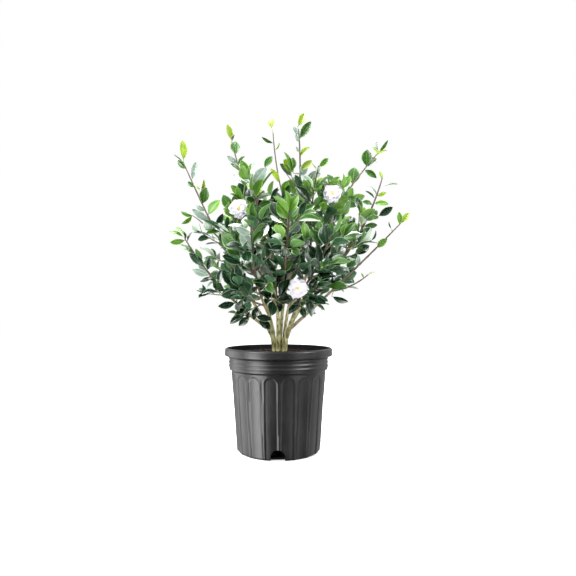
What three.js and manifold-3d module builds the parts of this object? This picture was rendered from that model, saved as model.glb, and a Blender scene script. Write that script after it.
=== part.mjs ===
// A young camellia shrub in its black nursery pot: fluted pot, bark mix, a trunk and six canes,
// boughs, and one solid of twigs, leaves and blossom for each mass of foliage.
// Millimetres, +Z up. The origin is the centre of the pot's flat underside, -Y is the front.

import * as THREE from "three";
import { mergeVertices } from "three/addons/utils/BufferGeometryUtils.js";
import Module from "manifold-3d";

const wasm = await Module();
wasm.setup();

// ---------------------------------------------------------------- driving dimensions, pot and soil

const GAP = 0.3;
const POT_HEIGHT = 213;
const LIP_RADIUS = 112.5;
const LIP_HEIGHT = 20;
const LIP_ROUND = 4;
const BAND_RADIUS = 103.6;
const BAND_HEIGHT = 25;
const SHOULDER_RADIUS = 98.5;
const SHOULDER_DROP = 2.5;
const FOOT_RADIUS = 86.4;
const FOOT_ROUND = 6;
const FLOOR = 4;
const WALL = 6;
const POT_SIDES = 36;
const FLUTES = 18;
const FLUTE_BEARING = 281;
const FLUTE_WIDTH = 25;
const FLUTE_DEPTH = 2.4;
const FLUTE_TOP = 160;
const ARCH_SEGMENTS = 3;
const NOTCHES = 4;
const NOTCH_BEARING = 269;
const NOTCH_WIDTH = 29;
const NOTCH_HEIGHT = 22;
const NOTCH_SPARE = 2;
const SOIL_EDGE = 201;
const SOIL_MOUND = 4;
const STAND_RADIUS = 36;

// ---------------------------------------------------------------- driving dimensions, plant

const SEED = 2011;
const GOLDEN_ANGLE = 137.5;
const FLARE = 1.15;
const FLARE_HEIGHT = 7;
const FOOT_DEPTH = 2;
const FORK_SHARE = 0.985;
const STEM_LAP = 0.006;
const SIDES = { cane: 6, bough: 6, stem: 3 };
const STEP_LENGTH = { cane: 20, bough: 30, stem: 46 };

const NODE_SPACING = 25;
const LAST_NODE = 6;
const BARE_SHARE = 0.04;
const NODE_DRIFT = 25;
const LEAF_SPACING = 17;
const FIRST_LEAF = 12;
const LEAF_DRIFT = 35;
const LEAF_ANGLE = 46;
const LEAF_LENGTH = 48;
const LEAF_SIZES = [0.8, 1.14];
const LEAF_RISE = [-0.15, 0.3];
const LEAF_ROLL = 38;
const LEAF_WIDTH_SHARE = 0.56;
const LEAF_THICKNESS = 1.4;
const CREST_SHARE = 0.34;
const WIDEST_SHARE = 0.56;
const EDGE_LIFT = 0.06;
const TIP_DROP = 0.05;
const ROOT_DEPTH = 0.3;
const END_SHARE = 0.97;
const END_ANGLE = 8;
const TOP_ANGLE = 5;
const TOP_SPIN = 40;
const TOP_LEAF_SHARE = 0.85;
const LIGHT_LEAN = 0.75;

const TWIG_ANGLE = 50;
const TWIG_TURNS = [0, 120, 240];
const TWIG_SIZES = [0.72, 1.12];
const TWIG_RISE = [0.05, 0.3];
const TWIG_BEND = 0.55;
const TWIG_RADIUS = 2;
const TWIG_STEP = 52;
const TIP_RADIUS = 1.4;

const ATTEMPTS = 4;
const SPACE_OVERLAP = 14;
const STEM_SAMPLES = 24;
const SOIL_CLEAR = 12;
const BLOOM_RADIUS = 18.6;
const BLOOM_SIDES = 10;
const BLOOM_CLEAR = 25;
const STALK_BACK = 2;
const STALK_BEND = 12;

// Keys that tell one kind of chance from another.
const KEY = {
  nodeSpin: 1, twigLength: 2, leafRise: 11, leafRoll: 12, leafSize: 13, twigRise: 21, leafSpin: 22,
  topLeaf: 7, endLeaf: 15, node: 100, nodeLeaf: 500, twigSpan: 16,
};

// Canes rise from the bark mix. foot is where each stands on it, tip where it forks, bow how far
// its middle stands off the straight line, radius its half thickness at the foot and at the fork.
const CANES = [
  { name: "trunk", foot: [11.5, -1], tip: [47, 4, 310], bow: [-7, 0, -5], radius: [5.7, 4.6] },
  { name: "cane_west", foot: [-9, 6], tip: [-35, -4, 278], bow: [6, 1, 0], radius: [4.2, 3.6] },
  { name: "cane_left", foot: [-7, -8], tip: [-24, -18, 294], bow: [4, 1, 0], radius: [4, 3.5] },
  { name: "cane_front", foot: [-1.5, -17], tip: [-2, -42, 300], bow: [1, 5, 0], radius: [3.9, 3.4] },
  { name: "cane_centre", foot: [-0.5, 0], tip: [-8, -2, 328], bow: [4, 0, 0], radius: [4.1, 3.3] },
  { name: "cane_rear", foot: [2.5, 11.5], tip: [14, 27, 330], bow: [-2, -4, 0], radius: [4.3, 3.4] },
  { name: "cane_right", foot: [8, -13.5], tip: [21, -26, 300], bow: [-1, 3, 0], radius: [3.5, 3.1] },
];

// Shoots carry the crown. Each leaves a cane or another shoot's bough at a share of its length.
// bough is the share of the shoot that is a bare limb, the rest is the stem of a mass of foliage.
// twigs is the share of that stem with side twigs, reach the length of the longest side twig.
const SHOOTS = [
  { name: "low_left", from: "cane_west", at: 0.62, tip: [-189, -40, 435], bow: [-5, -7, -14],
    radius: [3.4, 1.3], bough: 0.34, twigs: 0.5, reach: 44 },
  { name: "upper_left", from: "cane_west", at: 1, tip: [-214, 60, 625], bow: [-2, 10, -10],
    radius: [3.5, 1.3], bough: 0.3, twigs: 0.42, reach: 46 },
  { name: "tall_left", from: "cane_left", at: 1, tip: [-107, 75, 674], bow: [8, -3, 0],
    radius: [3.3, 1.3], bough: 0.36, twigs: 0.5, reach: 46 },
  { name: "inner_left", from: "cane_centre", at: 1, tip: [-56, -92, 543], bow: [5, -12, 2],
    radius: [3.1, 1.3], bough: 0.22, twigs: 0.8, reach: 66 },
  { name: "middle_top", from: "cane_rear", at: 1, tip: [42, -10, 668], bow: [14, 0, 0],
    radius: [3.2, 1.3], bough: 0.42, twigs: 0.4, reach: 44 },
  { name: "centre_top", from: "middle_top", at: 0.9, tip: [-12, 44, 682], bow: [-8, 4, -10],
    radius: [1.8, 1.2], bough: 0, twigs: 0.15, reach: 26 },
  { name: "high_right", from: "trunk", at: 0.86, tip: [230, 76, 654], bow: [-28, 6, 4],
    radius: [3.4, 1.3], bough: 0.36, twigs: 0.4, reach: 46 },
  { name: "upper_right", from: "high_right", at: 0.8, tip: [77, -82, 568], bow: [-8, -12, 0],
    radius: [2.3, 1.2], bough: 0, twigs: 0.75, reach: 56 },
  { name: "right", from: "trunk", at: 1, tip: [207, -50, 554], bow: [20, -2, -14],
    radius: [3.8, 1.3], bough: 0.34, twigs: 0.55, reach: 52 },
  { name: "far_right", from: "trunk", at: 0.42, tip: [250, -30, 469], bow: [2, -6, -2],
    radius: [3.5, 1.2], bough: 0.44, twigs: 0.1, reach: 24 },
  { name: "low_right", from: "far_right", at: 0.86, tip: [180, -44, 362], bow: [2, -4, -6],
    radius: [2, 1.2], bough: 0, twigs: 0.4, reach: 30 },
  { name: "left_front", from: "tall_left", at: 0.5, tip: [-97, -74, 498], bow: [-4, -8, -6],
    radius: [2.2, 1.2], bough: 0, twigs: 0.8, reach: 60 },
  { name: "right_front", from: "high_right", at: 0.97, tip: [122, -62, 530], bow: [2, -14, -4],
    radius: [2.1, 1.2], bough: 0, twigs: 0.8, reach: 56 },
  { name: "front_left", from: "cane_left", at: 0.86, tip: [-48, -168, 452], bow: [-8, -16, -14],
    radius: [3, 1.2], bough: 0.28, twigs: 0.85, reach: 62 },
  { name: "front_centre", from: "cane_front", at: 1, tip: [18, -182, 458], bow: [4, -12, -6],
    radius: [3.2, 1.2], bough: 0.26, twigs: 0.85, reach: 62 },
  { name: "front_right", from: "cane_right", at: 1, tip: [94, -160, 424], bow: [4, -14, -8],
    radius: [3, 1.2], bough: 0.28, twigs: 0.85, reach: 62 },
  { name: "front_low", from: "cane_front", at: 0.96, tip: [-6, -112, 366], bow: [0, -8, -4],
    radius: [2.1, 1.2], bough: 0, twigs: 0.7, reach: 44 },
  { name: "front_low_right", from: "front_right", at: 0.6, tip: [78, -118, 346], bow: [4, -6, -6],
    radius: [2.1, 1.2], bough: 0, twigs: 0.8, reach: 42 },
  { name: "front_low_left", from: "front_left", at: 0.55, tip: [-74, -108, 334], bow: [-4, -8, -6],
    radius: [2.2, 1.2], bough: 0, twigs: 0.8, reach: 52 },
  { name: "low_skirt_left", from: "low_left", at: 0.55, tip: [-84, -50, 282], bow: [-4, -6, 2],
    radius: [1.9, 1.2], bough: 0, twigs: 0.4, reach: 26 },
  { name: "back_left", from: "cane_rear", at: 0.7, tip: [-115, 158, 508], bow: [-6, 12, -16],
    radius: [3.2, 1.2], bough: 0.3, twigs: 0.8, reach: 66 },
  { name: "back_centre", from: "cane_rear", at: 0.86, tip: [-44, 178, 572], bow: [-2, 14, -10],
    radius: [3.2, 1.2], bough: 0.3, twigs: 0.8, reach: 66 },
  { name: "back_right", from: "trunk", at: 0.58, tip: [158, 156, 528], bow: [4, 16, -18],
    radius: [3.4, 1.2], bough: 0.34, twigs: 0.8, reach: 66 },
  { name: "back_tall", from: "cane_rear", at: 0.97, tip: [72, 172, 588], bow: [4, 14, -8],
    radius: [3.1, 1.2], bough: 0.3, twigs: 0.8, reach: 66 },
  { name: "back_low_left", from: "back_left", at: 0.6, tip: [-142, 120, 390], bow: [-6, 6, -8],
    radius: [2.4, 1.2], bough: 0, twigs: 0.8, reach: 54 },
  { name: "back_low_right", from: "back_right", at: 0.55, tip: [164, 118, 396], bow: [4, 8, -10],
    radius: [2.4, 1.2], bough: 0, twigs: 0.8, reach: 52 },
  { name: "back_low", from: "back_centre", at: 0.5, tip: [14, 178, 396], bow: [2, 8, -8],
    radius: [2.4, 1.2], bough: 0, twigs: 0.8, reach: 62 },
];

// Open blossoms: the shoot each grows on, the share of its stem where its stalk leaves, and the
// bloom's centre and the way it faces.
const BLOOMS = [
  { shoot: "left_front", at: 0.72, centre: [-76, -100, 486], facing: [0.04, -0.98, 0.06] },
  { shoot: "right_front", at: 0.7, centre: [103, -86, 513], facing: [-0.06, -0.98, 0.04] },
  { shoot: "front_low_right", at: 0.62, centre: [35, -128, 329], facing: [0.02, -0.98, 0.04] },
];

// ---------------------------------------------------------------- solids

const UP = new THREE.Vector3(0, 0, 1);
const radians = THREE.MathUtils.degToRad;
const vector = ([x, y, z]) => new THREE.Vector3(x, y, z);

// A closed geometry as a solid that can be joined and cut.
function solid(geometry) {
  const bare = geometry.clone();
  bare.deleteAttribute("normal");
  bare.deleteAttribute("uv");
  const merged = mergeVertices(bare, 1e-4);
  const mesh = new wasm.Mesh({
    numProp: 3,
    vertProperties: new Float32Array(merged.attributes.position.array),
    triVerts: new Uint32Array(merged.index.array),
  });
  return new wasm.Manifold(mesh);
}

// A solid as a geometry again.
function geometryOf(body) {
  const mesh = body.getMesh();
  const geometry = new THREE.BufferGeometry();
  geometry.setAttribute("position", new THREE.BufferAttribute(mesh.vertProperties, 3));
  geometry.setIndex(new THREE.BufferAttribute(mesh.triVerts, 1));
  geometry.computeVertexNormals();
  return geometry;
}

const largest = (body) => body.decompose().sort((a, b) => b.volume() - a.volume())[0];

// A body of revolution about the upright axis from [radius, height] pairs.
function turned(profile) {
  const points = profile.map(([radius, height]) => new THREE.Vector2(radius, height));
  const geometry = new THREE.LatheGeometry(points, POT_SIDES).rotateX(Math.PI / 2);
  return geometry.rotateZ(radians(FLUTE_BEARING));
}

// ---------------------------------------------------------------- pot and soil

const bandTop = POT_HEIGHT - LIP_HEIGHT;
const bandFoot = bandTop - BAND_HEIGHT;
const shoulder = bandFoot - SHOULDER_DROP;
const wallRadius = (height) =>
  THREE.MathUtils.mapLinear(height, 0, shoulder, FOOT_RADIUS, SHOULDER_RADIUS);
const wallLean = Math.atan((SHOULDER_RADIUS - FOOT_RADIUS) / shoulder);
const mouthRadius = BAND_RADIUS - WALL;
const insideRadius = (height) =>
  THREE.MathUtils.mapLinear(height, 0, POT_HEIGHT, FOOT_RADIUS - WALL, mouthRadius);

// An arched prism that runs out from the pot's axis, for a flute or a drain notch. lean tips it
// with the wall, about the wall's foot.
function arch(width, foot, top, inner, outer, bearing, lean = 0) {
  const half = width / 2;
  const outline = new THREE.Shape();
  outline.moveTo(-half, foot);
  outline.lineTo(half, foot);
  outline.lineTo(half, top - half);
  outline.absarc(0, top - half, half, 0, Math.PI);
  const options = { depth: outer - inner, bevelEnabled: false, curveSegments: ARCH_SEGMENTS };
  const prism = new THREE.ExtrudeGeometry(outline, options);
  prism.rotateX(Math.PI / 2 + lean);
  prism.translate(0, -inner, 0);
  prism.rotateZ(radians(bearing + 90));
  return prism;
}

const around = (count, start) => Array.from({ length: count }, (_, i) => start + (360 / count) * i);

// The pot with its rolled lip, band, arched flutes and drain notches, as one shell.
function potSolid() {
  const outside = solid(turned([
    [0, 0],
    [FOOT_RADIUS - FOOT_ROUND, 0],
    [wallRadius(FOOT_ROUND), FOOT_ROUND],
    [SHOULDER_RADIUS, shoulder],
    [BAND_RADIUS, bandFoot],
    [BAND_RADIUS, bandTop],
    [LIP_RADIUS, bandTop],
    [LIP_RADIUS, POT_HEIGHT - LIP_ROUND],
    [LIP_RADIUS - LIP_ROUND, POT_HEIGHT],
    [0, POT_HEIGHT],
  ]));
  const inside = solid(turned([
    [0, FLOOR],
    [insideRadius(FLOOR), FLOOR],
    [insideRadius(POT_HEIGHT - LIP_ROUND), POT_HEIGHT - LIP_ROUND],
    [mouthRadius + LIP_ROUND / 2, POT_HEIGHT + 1],
    [0, POT_HEIGHT + 1],
  ]));
  let pot = outside.subtract(inside);
  for (const bearing of around(FLUTES, FLUTE_BEARING)) {
    const floor = FOOT_RADIUS - FLUTE_DEPTH;
    const flute = arch(FLUTE_WIDTH, -FOOT_ROUND, FLUTE_TOP, floor, LIP_RADIUS, bearing, wallLean);
    pot = pot.subtract(solid(flute));
  }
  for (const bearing of around(NOTCHES, NOTCH_BEARING)) {
    const inner = insideRadius(0) - WALL;
    const notch = arch(NOTCH_WIDTH, -1, NOTCH_HEIGHT, inner, LIP_RADIUS, bearing);
    pot = pot.subtract(solid(notch));
  }
  return pot;
}

// The bark mix that fills the pot, kept clear of its walls and notches.
function soilSolid() {
  let soil = solid(turned([
    [0, FLOOR + GAP],
    [insideRadius(FLOOR) - GAP, FLOOR + GAP],
    [insideRadius(SOIL_EDGE) - GAP, SOIL_EDGE],
    [STAND_RADIUS, SOIL_EDGE + SOIL_MOUND],
    [0, SOIL_EDGE + SOIL_MOUND],
  ]));
  for (const bearing of around(NOTCHES, NOTCH_BEARING)) {
    const inner = insideRadius(0) - 2 * WALL;
    const width = NOTCH_WIDTH + NOTCH_SPARE;
    const hollow = arch(width, -1, NOTCH_HEIGHT + NOTCH_SPARE, inner, LIP_RADIUS, bearing);
    soil = soil.subtract(solid(hollow));
  }
  return soil;
}

// ---------------------------------------------------------------- limbs

// A tapering limb along a curve. radiusAt gives the half thickness at a share of its length.
function limb(curve, sides, steps, radiusAt) {
  const corners = around(sides, 0).map((angle) => {
    return new THREE.Vector2(Math.cos(radians(angle)), Math.sin(radians(angle)));
  });
  const options = { depth: 1, steps, bevelEnabled: false };
  const prism = new THREE.ExtrudeGeometry(new THREE.Shape(corners), options);
  const { normals, binormals } = curve.computeFrenetFrames(steps, false);
  const position = prism.attributes.position;
  for (let i = 0; i < position.count; i++) {
    const ring = Math.round(position.getZ(i) * steps);
    const radius = radiusAt(ring / steps);
    const point = curve.getPointAt(ring / steps);
    point.addScaledVector(normals[ring], position.getX(i) * radius);
    point.addScaledVector(binormals[ring], position.getY(i) * radius);
    position.setXYZ(i, point.x, point.y, point.z);
  }
  return prism;
}

// The point at a share of a limb's length, on the straight steps that the limb is made of.
function pointOn(curve, steps, share) {
  const ring = Math.min(Math.floor(share * steps), steps - 1);
  const near = curve.getPointAt(ring / steps);
  return near.lerp(curve.getPointAt((ring + 1) / steps), share * steps - ring);
}

// The curve from start to tip whose middle stands off the straight line by bow.
function bowed(start, tip, bow) {
  const control = start.clone().lerp(tip, 0.5).addScaledVector(vector(bow), 2);
  return new THREE.QuadraticBezierCurve3(start, control, tip);
}

// The stretch of a bowed curve between two of its shares.
function stretch(curve, from, to) {
  const control = curve.v0.clone().multiplyScalar((1 - from) * (1 - to));
  control.addScaledVector(curve.v1, from * (1 - to) + to * (1 - from));
  control.addScaledVector(curve.v2, from * to);
  return new THREE.QuadraticBezierCurve3(curve.getPoint(from), control, curve.getPoint(to));
}

const taper = ([foot, tip], from = 0, to = 1) => (share) =>
  THREE.MathUtils.lerp(foot, tip, THREE.MathUtils.lerp(from, to, share));

const groundLevel = SOIL_EDGE + SOIL_MOUND + GAP;

// Everything below the canes' flat cut.
const ground = solid(
  new THREE.BoxGeometry(2 * LIP_RADIUS, 2 * LIP_RADIUS, POT_HEIGHT)
    .translate(0, 0, groundLevel - POT_HEIGHT / 2),
);

// Every limb and stem: its curve, its taper and the name of what it leaves.
const axes = new Map();

for (const { name, foot, tip, bow, radius } of CANES) {
  const start = vector([...foot, groundLevel - FOOT_DEPTH]);
  const radiusAt = (share) => {
    const height = share * (tip[2] - groundLevel);
    return taper(radius)(share) * (1 + (FLARE - 1) * Math.exp(-height / FLARE_HEIGHT));
  };
  axes.set(name, { kind: "cane", name, curve: bowed(start, vector(tip), bow), radiusAt });
}

for (const shoot of SHOOTS) {
  const parent = axes.get(axes.has("bough_" + shoot.from) ? "bough_" + shoot.from : shoot.from);
  const start = parent.curve.getPointAt(Math.min(shoot.at, FORK_SHARE));
  const whole = bowed(start, vector(shoot.tip), shoot.bow);
  let carrier = parent.name;
  if (shoot.bough > 0) {
    const name = "bough_" + shoot.name;
    const radiusAt = taper(shoot.radius, 0, shoot.bough);
    const curve = stretch(whole, 0, shoot.bough);
    axes.set(name, { kind: "bough", name, curve, radiusAt, carrier });
    carrier = name;
  }
  const name = "foliage_" + shoot.name;
  const curve = stretch(whole, Math.max(shoot.bough - STEM_LAP, 0), 1);
  const radiusAt = taper(shoot.radius, shoot.bough, 1);
  axes.set(name, { kind: "stem", name, curve, shoot, radiusAt, carrier });
}

const stepsOf = ({ curve, kind }) => Math.max(2, Math.round(curve.getLength() / STEP_LENGTH[kind]));

// An axis as a solid, grown by margin all round.
function axisSolid(axis, margin = 0) {
  const steps = stepsOf(axis);
  let { curve } = axis;
  if (margin > 0) {
    const ahead = curve.getTangent(1).multiplyScalar(margin);
    curve = new THREE.QuadraticBezierCurve3(curve.v0, curve.v1, curve.v2.clone().add(ahead));
  }
  return solid(limb(curve, SIDES[axis.kind], steps, (share) => axis.radiusAt(share) + margin));
}

const limbs = new Map();
const clearances = new Map();
for (const axis of axes.values()) {
  let body = axisSolid(axis);
  if (axis.kind === "cane") {
    body = body.subtract(ground);
  }
  for (const [name, clearance] of clearances) {
    const sibling = axis.carrier && axes.get(name).carrier === axis.carrier;
    if (name === axis.carrier || sibling) {
      body = largest(body.subtract(clearance));
    }
  }
  limbs.set(axis.name, body);
  clearances.set(axis.name, axisSolid(axis, GAP));
}

// ---------------------------------------------------------------- foliage

// A number from 0 to 1 that depends only on the seed and the keys.
function chance(...keys) {
  let state = SEED;
  for (const key of keys) {
    state = Math.imul(state ^ (key + 0x9e37), 0x9e3779b1);
    state ^= state >>> 15;
    state = Math.imul(state, 0x85ebca6b);
    state ^= state >>> 13;
  }
  return (state >>> 0) / 4294967296;
}

const between = ([low, high], ...keys) => low + (high - low) * chance(...keys);
const either = (limit, ...keys) => between([-limit, limit], ...keys);

// The direction that leaves an axis at an angle from its tangent, turned about it by a bearing.
function offshoot(tangent, angle, spin) {
  const side = new THREE.Vector3().crossVectors(tangent, UP);
  if (side.lengthSq() < 1e-4) side.set(1, 0, 0);
  side.normalize().applyAxisAngle(tangent, radians(spin));
  const away = tangent.clone().multiplyScalar(Math.cos(radians(angle)));
  return away.addScaledVector(side, Math.sin(radians(angle))).normalize();
}

// The way a leaf's upper face looks: up, and out from the crown's middle.
function light(point) {
  return new THREE.Vector3(point.x, point.y, 0).normalize().multiplyScalar(LIGHT_LEAN).add(UP);
}

// A leaf of eight faces: its root, tip, two edges and the two sides of its midrib, each moved out
// by margin.
function leafGeometry(root, direction, normal, length, margin = 0) {
  const side = new THREE.Vector3().crossVectors(normal, direction);
  const halfWidth = (length * LEAF_WIDTH_SHARE) / 2 + margin;
  const halfThickness = LEAF_THICKNESS / 2 + margin;
  const place = (along, across, out) => root.clone().addScaledVector(direction, along)
    .addScaledVector(side, across)
    .addScaledVector(normal, out);
  const blade = new THREE.OctahedronGeometry(1);
  const position = blade.attributes.position;
  for (let i = 0; i < position.count; i++) {
    const [x, y, z] = [position.getX(i), position.getY(i), position.getZ(i)].map(Math.round);
    let corner = place(CREST_SHARE * length, 0, z * halfThickness);
    if (x > 0) {
      corner = place(length + margin, 0, -TIP_DROP * length);
    } else if (x < 0) {
      corner = place(0, 0, 0);
    } else if (y !== 0) {
      corner = place(WIDEST_SHARE * length, y * halfWidth, EDGE_LIFT * length);
    }
    position.setXYZ(i, corner.x, corner.y, corner.z);
  }
  return blade;
}

const stems = [...axes.values()].filter((axis) => axis.kind === "stem");
for (const axis of stems) {
  axis.samples = axis.curve.getSpacedPoints(STEM_SAMPLES);
}

// How much nearer a point is to its own stem than to any other, in millimetres.
function room(point, own) {
  const nearest = (axis) => Math.min(...axis.samples.map((sample) => sample.distanceTo(point)));
  const others = stems.filter((axis) => axis !== own).map(nearest);
  return Math.min(...others) - nearest(own);
}

// An open blossom as a shallow cup with a domed heart.
function bloomGeometry({ centre, facing }) {
  const cup = new THREE.LatheGeometry([
    new THREE.Vector2(0, -5),
    new THREE.Vector2(0.35 * BLOOM_RADIUS, -4),
    new THREE.Vector2(BLOOM_RADIUS, 0.5),
    new THREE.Vector2(0.92 * BLOOM_RADIUS, 3),
    new THREE.Vector2(0.3 * BLOOM_RADIUS, 3.5),
    new THREE.Vector2(0, 5),
  ], BLOOM_SIDES);
  const turn = new THREE.Quaternion();
  turn.setFromUnitVectors(new THREE.Vector3(0, 1, 0), vector(facing).normalize());
  return cup.applyQuaternion(turn).translate(...centre);
}

const blooms = BLOOMS.map((bloom) => {
  const axis = axes.get("foliage_" + bloom.shoot);
  const out = vector(bloom.facing).normalize();
  const centre = vector(bloom.centre);
  const back = centre.clone().addScaledVector(out, -STALK_BACK);
  const leave = axis.curve.getPointAt(bloom.at);
  const bend = back.clone().addScaledVector(out, -STALK_BEND);
  const stalk = limb(new THREE.QuadraticBezierCurve3(leave, bend, back), 3, 3, () => TWIG_RADIUS);
  return { axis, body: solid(bloomGeometry(bloom)).add(solid(stalk)), centre, out };
});

const hidesBloom = (point) => blooms.some(({ centre, out }) => {
  return point.distanceTo(centre.clone().addScaledVector(out, 0.8 * BLOOM_CLEAR)) < BLOOM_CLEAR;
});

// The masses that are whole already, which later ones keep clear of.
const grown = [];

// One mass of foliage: its stem, side twigs, leaves and blossom, fused.
class Mass {
  constructor(axis, index) {
    this.axis = axis;
    this.index = index;
    this.body = limbs.get(axis.name);
    this.leaves = null;
    const others = [...clearances].filter(([name]) => name !== axis.name).map(([, body]) => body);
    for (const bloom of blooms) {
      if (bloom.axis === axis) {
        this.body = this.body.add(bloom.body);
        this.leaves = bloom.body;
      } else {
        others.push(bloom.body);
      }
    }
    this.blocked = wasm.Manifold.union([...others, ...grown]);
  }

  // Whether every corner keeps to this mass's space, above the soil and off the blossom's face.
  fits(geometry) {
    const { position } = geometry.attributes;
    const point = new THREE.Vector3();
    for (let i = 0; i < position.count; i++) {
      point.fromBufferAttribute(position, i);
      const crowded = room(point, this.axis) < -SPACE_OVERLAP;
      if (crowded || hidesBloom(point) || point.z < groundLevel + SOIL_CLEAR) {
        return false;
      }
    }
    return true;
  }

  touches(body) {
    return !body.intersect(this.blocked).isEmpty();
  }

  touchesLeaves(body) {
    return this.leaves !== null && !body.intersect(this.leaves).isEmpty();
  }

  // Adds a leaf at the first of a few turns about the twig where it has room.
  addLeaf(point, tangent, angle, spin, length, key) {
    for (let attempt = 0; attempt < ATTEMPTS; attempt++) {
      const chosen = [this.index, key, attempt];
      const direction = offshoot(tangent, angle, spin + attempt * GOLDEN_ANGLE);
      direction.z += between(LEAF_RISE, ...chosen, KEY.leafRise);
      direction.normalize();
      const normal = light(point);
      normal.addScaledVector(direction, -normal.dot(direction)).normalize();
      normal.applyAxisAngle(direction, radians(either(LEAF_ROLL, ...chosen, KEY.leafRoll)));
      const size = length * between(LEAF_SIZES, this.index, key, KEY.leafSize);
      const root = point.clone().addScaledVector(direction, -ROOT_DEPTH);
      const outline = leafGeometry(root, direction, normal, size, GAP);
      if (this.fits(outline) && !this.touches(solid(outline))) {
        const blade = solid(leafGeometry(root, direction, normal, size));
        if (!this.touchesLeaves(blade)) {
          this.leaves = this.leaves ? this.leaves.add(blade) : blade;
          this.body = this.body.add(blade);
          return;
        }
      }
    }
  }

  // Adds a side twig with its leaves, and says whether there was room for it.
  addTwig(point, tangent, spin, length, radius, key) {
    const direction = offshoot(tangent, TWIG_ANGLE, spin);
    const tip = point.clone().addScaledVector(direction, length);
    tip.z += length * between(TWIG_RISE, this.index, key, KEY.twigRise);
    const bend = point.clone().addScaledVector(direction, length * TWIG_BEND);
    const curve = new THREE.QuadraticBezierCurve3(point, bend, tip);
    const steps = Math.max(1, Math.round(length / TWIG_STEP));
    const radiusAt = (share) => THREE.MathUtils.lerp(radius, TIP_RADIUS, share);
    const geometry = limb(curve, SIDES.stem, steps, radiusAt);
    if (!this.fits(geometry)) {
      return false;
    }
    const twig = solid(geometry);
    if (this.touches(twig) || this.touchesLeaves(twig)) {
      return false;
    }
    this.body = this.body.add(twig);
    const count = Math.max(1, Math.floor((length - FIRST_LEAF) / LEAF_SPACING));
    for (let n = 0; n < count; n++) {
      const share = (FIRST_LEAF + n * LEAF_SPACING) / length;
      const drift = either(LEAF_DRIFT, this.index, key, n, KEY.leafSpin);
      const leafSpin = drift + (n % 2) * 180;
      const leafKey = key * KEY.twigSpan + n;
      const root = pointOn(curve, steps, share);
      this.addLeaf(root, curve.getTangentAt(share), LEAF_ANGLE, leafSpin, LEAF_LENGTH, leafKey);
    }
    const endKey = key * KEY.twigSpan + KEY.endLeaf;
    const end = pointOn(curve, steps, END_SHARE);
    this.addLeaf(end, curve.getTangentAt(END_SHARE), END_ANGLE, 0, LEAF_LENGTH, endKey);
    return true;
  }

  // Grows the mass along its stem, from the foot of the stem to its end.
  grow() {
    const { curve, shoot, radiusAt } = this.axis;
    const length = curve.getLength();
    const steps = stepsOf(this.axis);
    const top = pointOn(curve, steps, FORK_SHARE);
    const topLength = LEAF_LENGTH * TOP_LEAF_SHARE;
    this.addLeaf(top, curve.getTangentAt(1), TOP_ANGLE, TOP_SPIN, topLength, KEY.topLeaf);
    for (let node = Math.floor(length / NODE_SPACING); node >= 0; node--) {
      const share = (length - LAST_NODE - node * NODE_SPACING) / length;
      if (share < BARE_SHARE) {
        continue;
      }
      const point = pointOn(curve, steps, share);
      const tangent = curve.getTangentAt(share);
      const spin = node * GOLDEN_ANGLE + either(NODE_DRIFT, this.index, node, KEY.nodeSpin);
      const size = between(TWIG_SIZES, this.index, node, KEY.twigLength);
      const twigLength = shoot.reach * (1 - share / 2) * size;
      const radius = Math.min(TWIG_RADIUS, radiusAt(share));
      const key = KEY.node + node;
      const twigged = share < shoot.twigs && TWIG_TURNS.some((turn) => {
        return this.addTwig(point, tangent, spin + turn, twigLength, radius, key + turn);
      });
      if (!twigged) {
        this.addLeaf(point, tangent, LEAF_ANGLE, spin, LEAF_LENGTH, key + KEY.nodeLeaf);
      }
    }
    grown.push(this.body);
    return this.body;
  }
}

// ---------------------------------------------------------------- materials and assembly

const potPlastic = new THREE.MeshStandardMaterial({ color: 0x2b2d2d, roughness: 0.42, metalness: 0 });
const barkMix = new THREE.MeshStandardMaterial({ color: 0x2a1712, roughness: 0.95, metalness: 0 });
const bark = new THREE.MeshStandardMaterial({ color: 0x8d8458, roughness: 0.8, metalness: 0 });
const twigBark = new THREE.MeshStandardMaterial({ color: 0x5e5646, roughness: 0.8, metalness: 0 });
const leafGreen = new THREE.MeshStandardMaterial({ color: 0x2f6a32, roughness: 0.4, metalness: 0 });

const camellia = new THREE.Group();
camellia.name = "camellia_shrub";

// Adds a solid to a group as one named mesh.
function place(group, name, body, material) {
  const mesh = new THREE.Mesh(geometryOf(body), material);
  mesh.name = name;
  group.add(mesh);
}

const container = new THREE.Group();
place(container, "pot", potSolid(), potPlastic);
place(container, "soil", soilSolid(), barkMix);
camellia.add(container);

const wood = new THREE.Group();
for (const axis of axes.values()) {
  if (axis.kind !== "stem") {
    place(wood, axis.name, limbs.get(axis.name), axis.kind === "cane" ? bark : twigBark);
  }
}
camellia.add(wood);

const crown = new THREE.Group();
const flowers = (axis) => blooms.some((bloom) => bloom.axis === axis);
const bloomFirst = [...stems].sort((a, b) => flowers(b) - flowers(a));
for (const axis of bloomFirst) {
  const mass = new Mass(axis, stems.indexOf(axis));
  place(crown, axis.name, mass.grow(), leafGreen);
}
camellia.add(crown);

export default camellia;
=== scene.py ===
import itertools
import logging
import math
from dataclasses import dataclass, field, replace
from enum import Enum, IntEnum
from typing import Any, Callable, Iterable, Sequence

import bmesh
import bpy
import numpy as np
from mathutils import Matrix, Quaternion, Vector, noise


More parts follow.
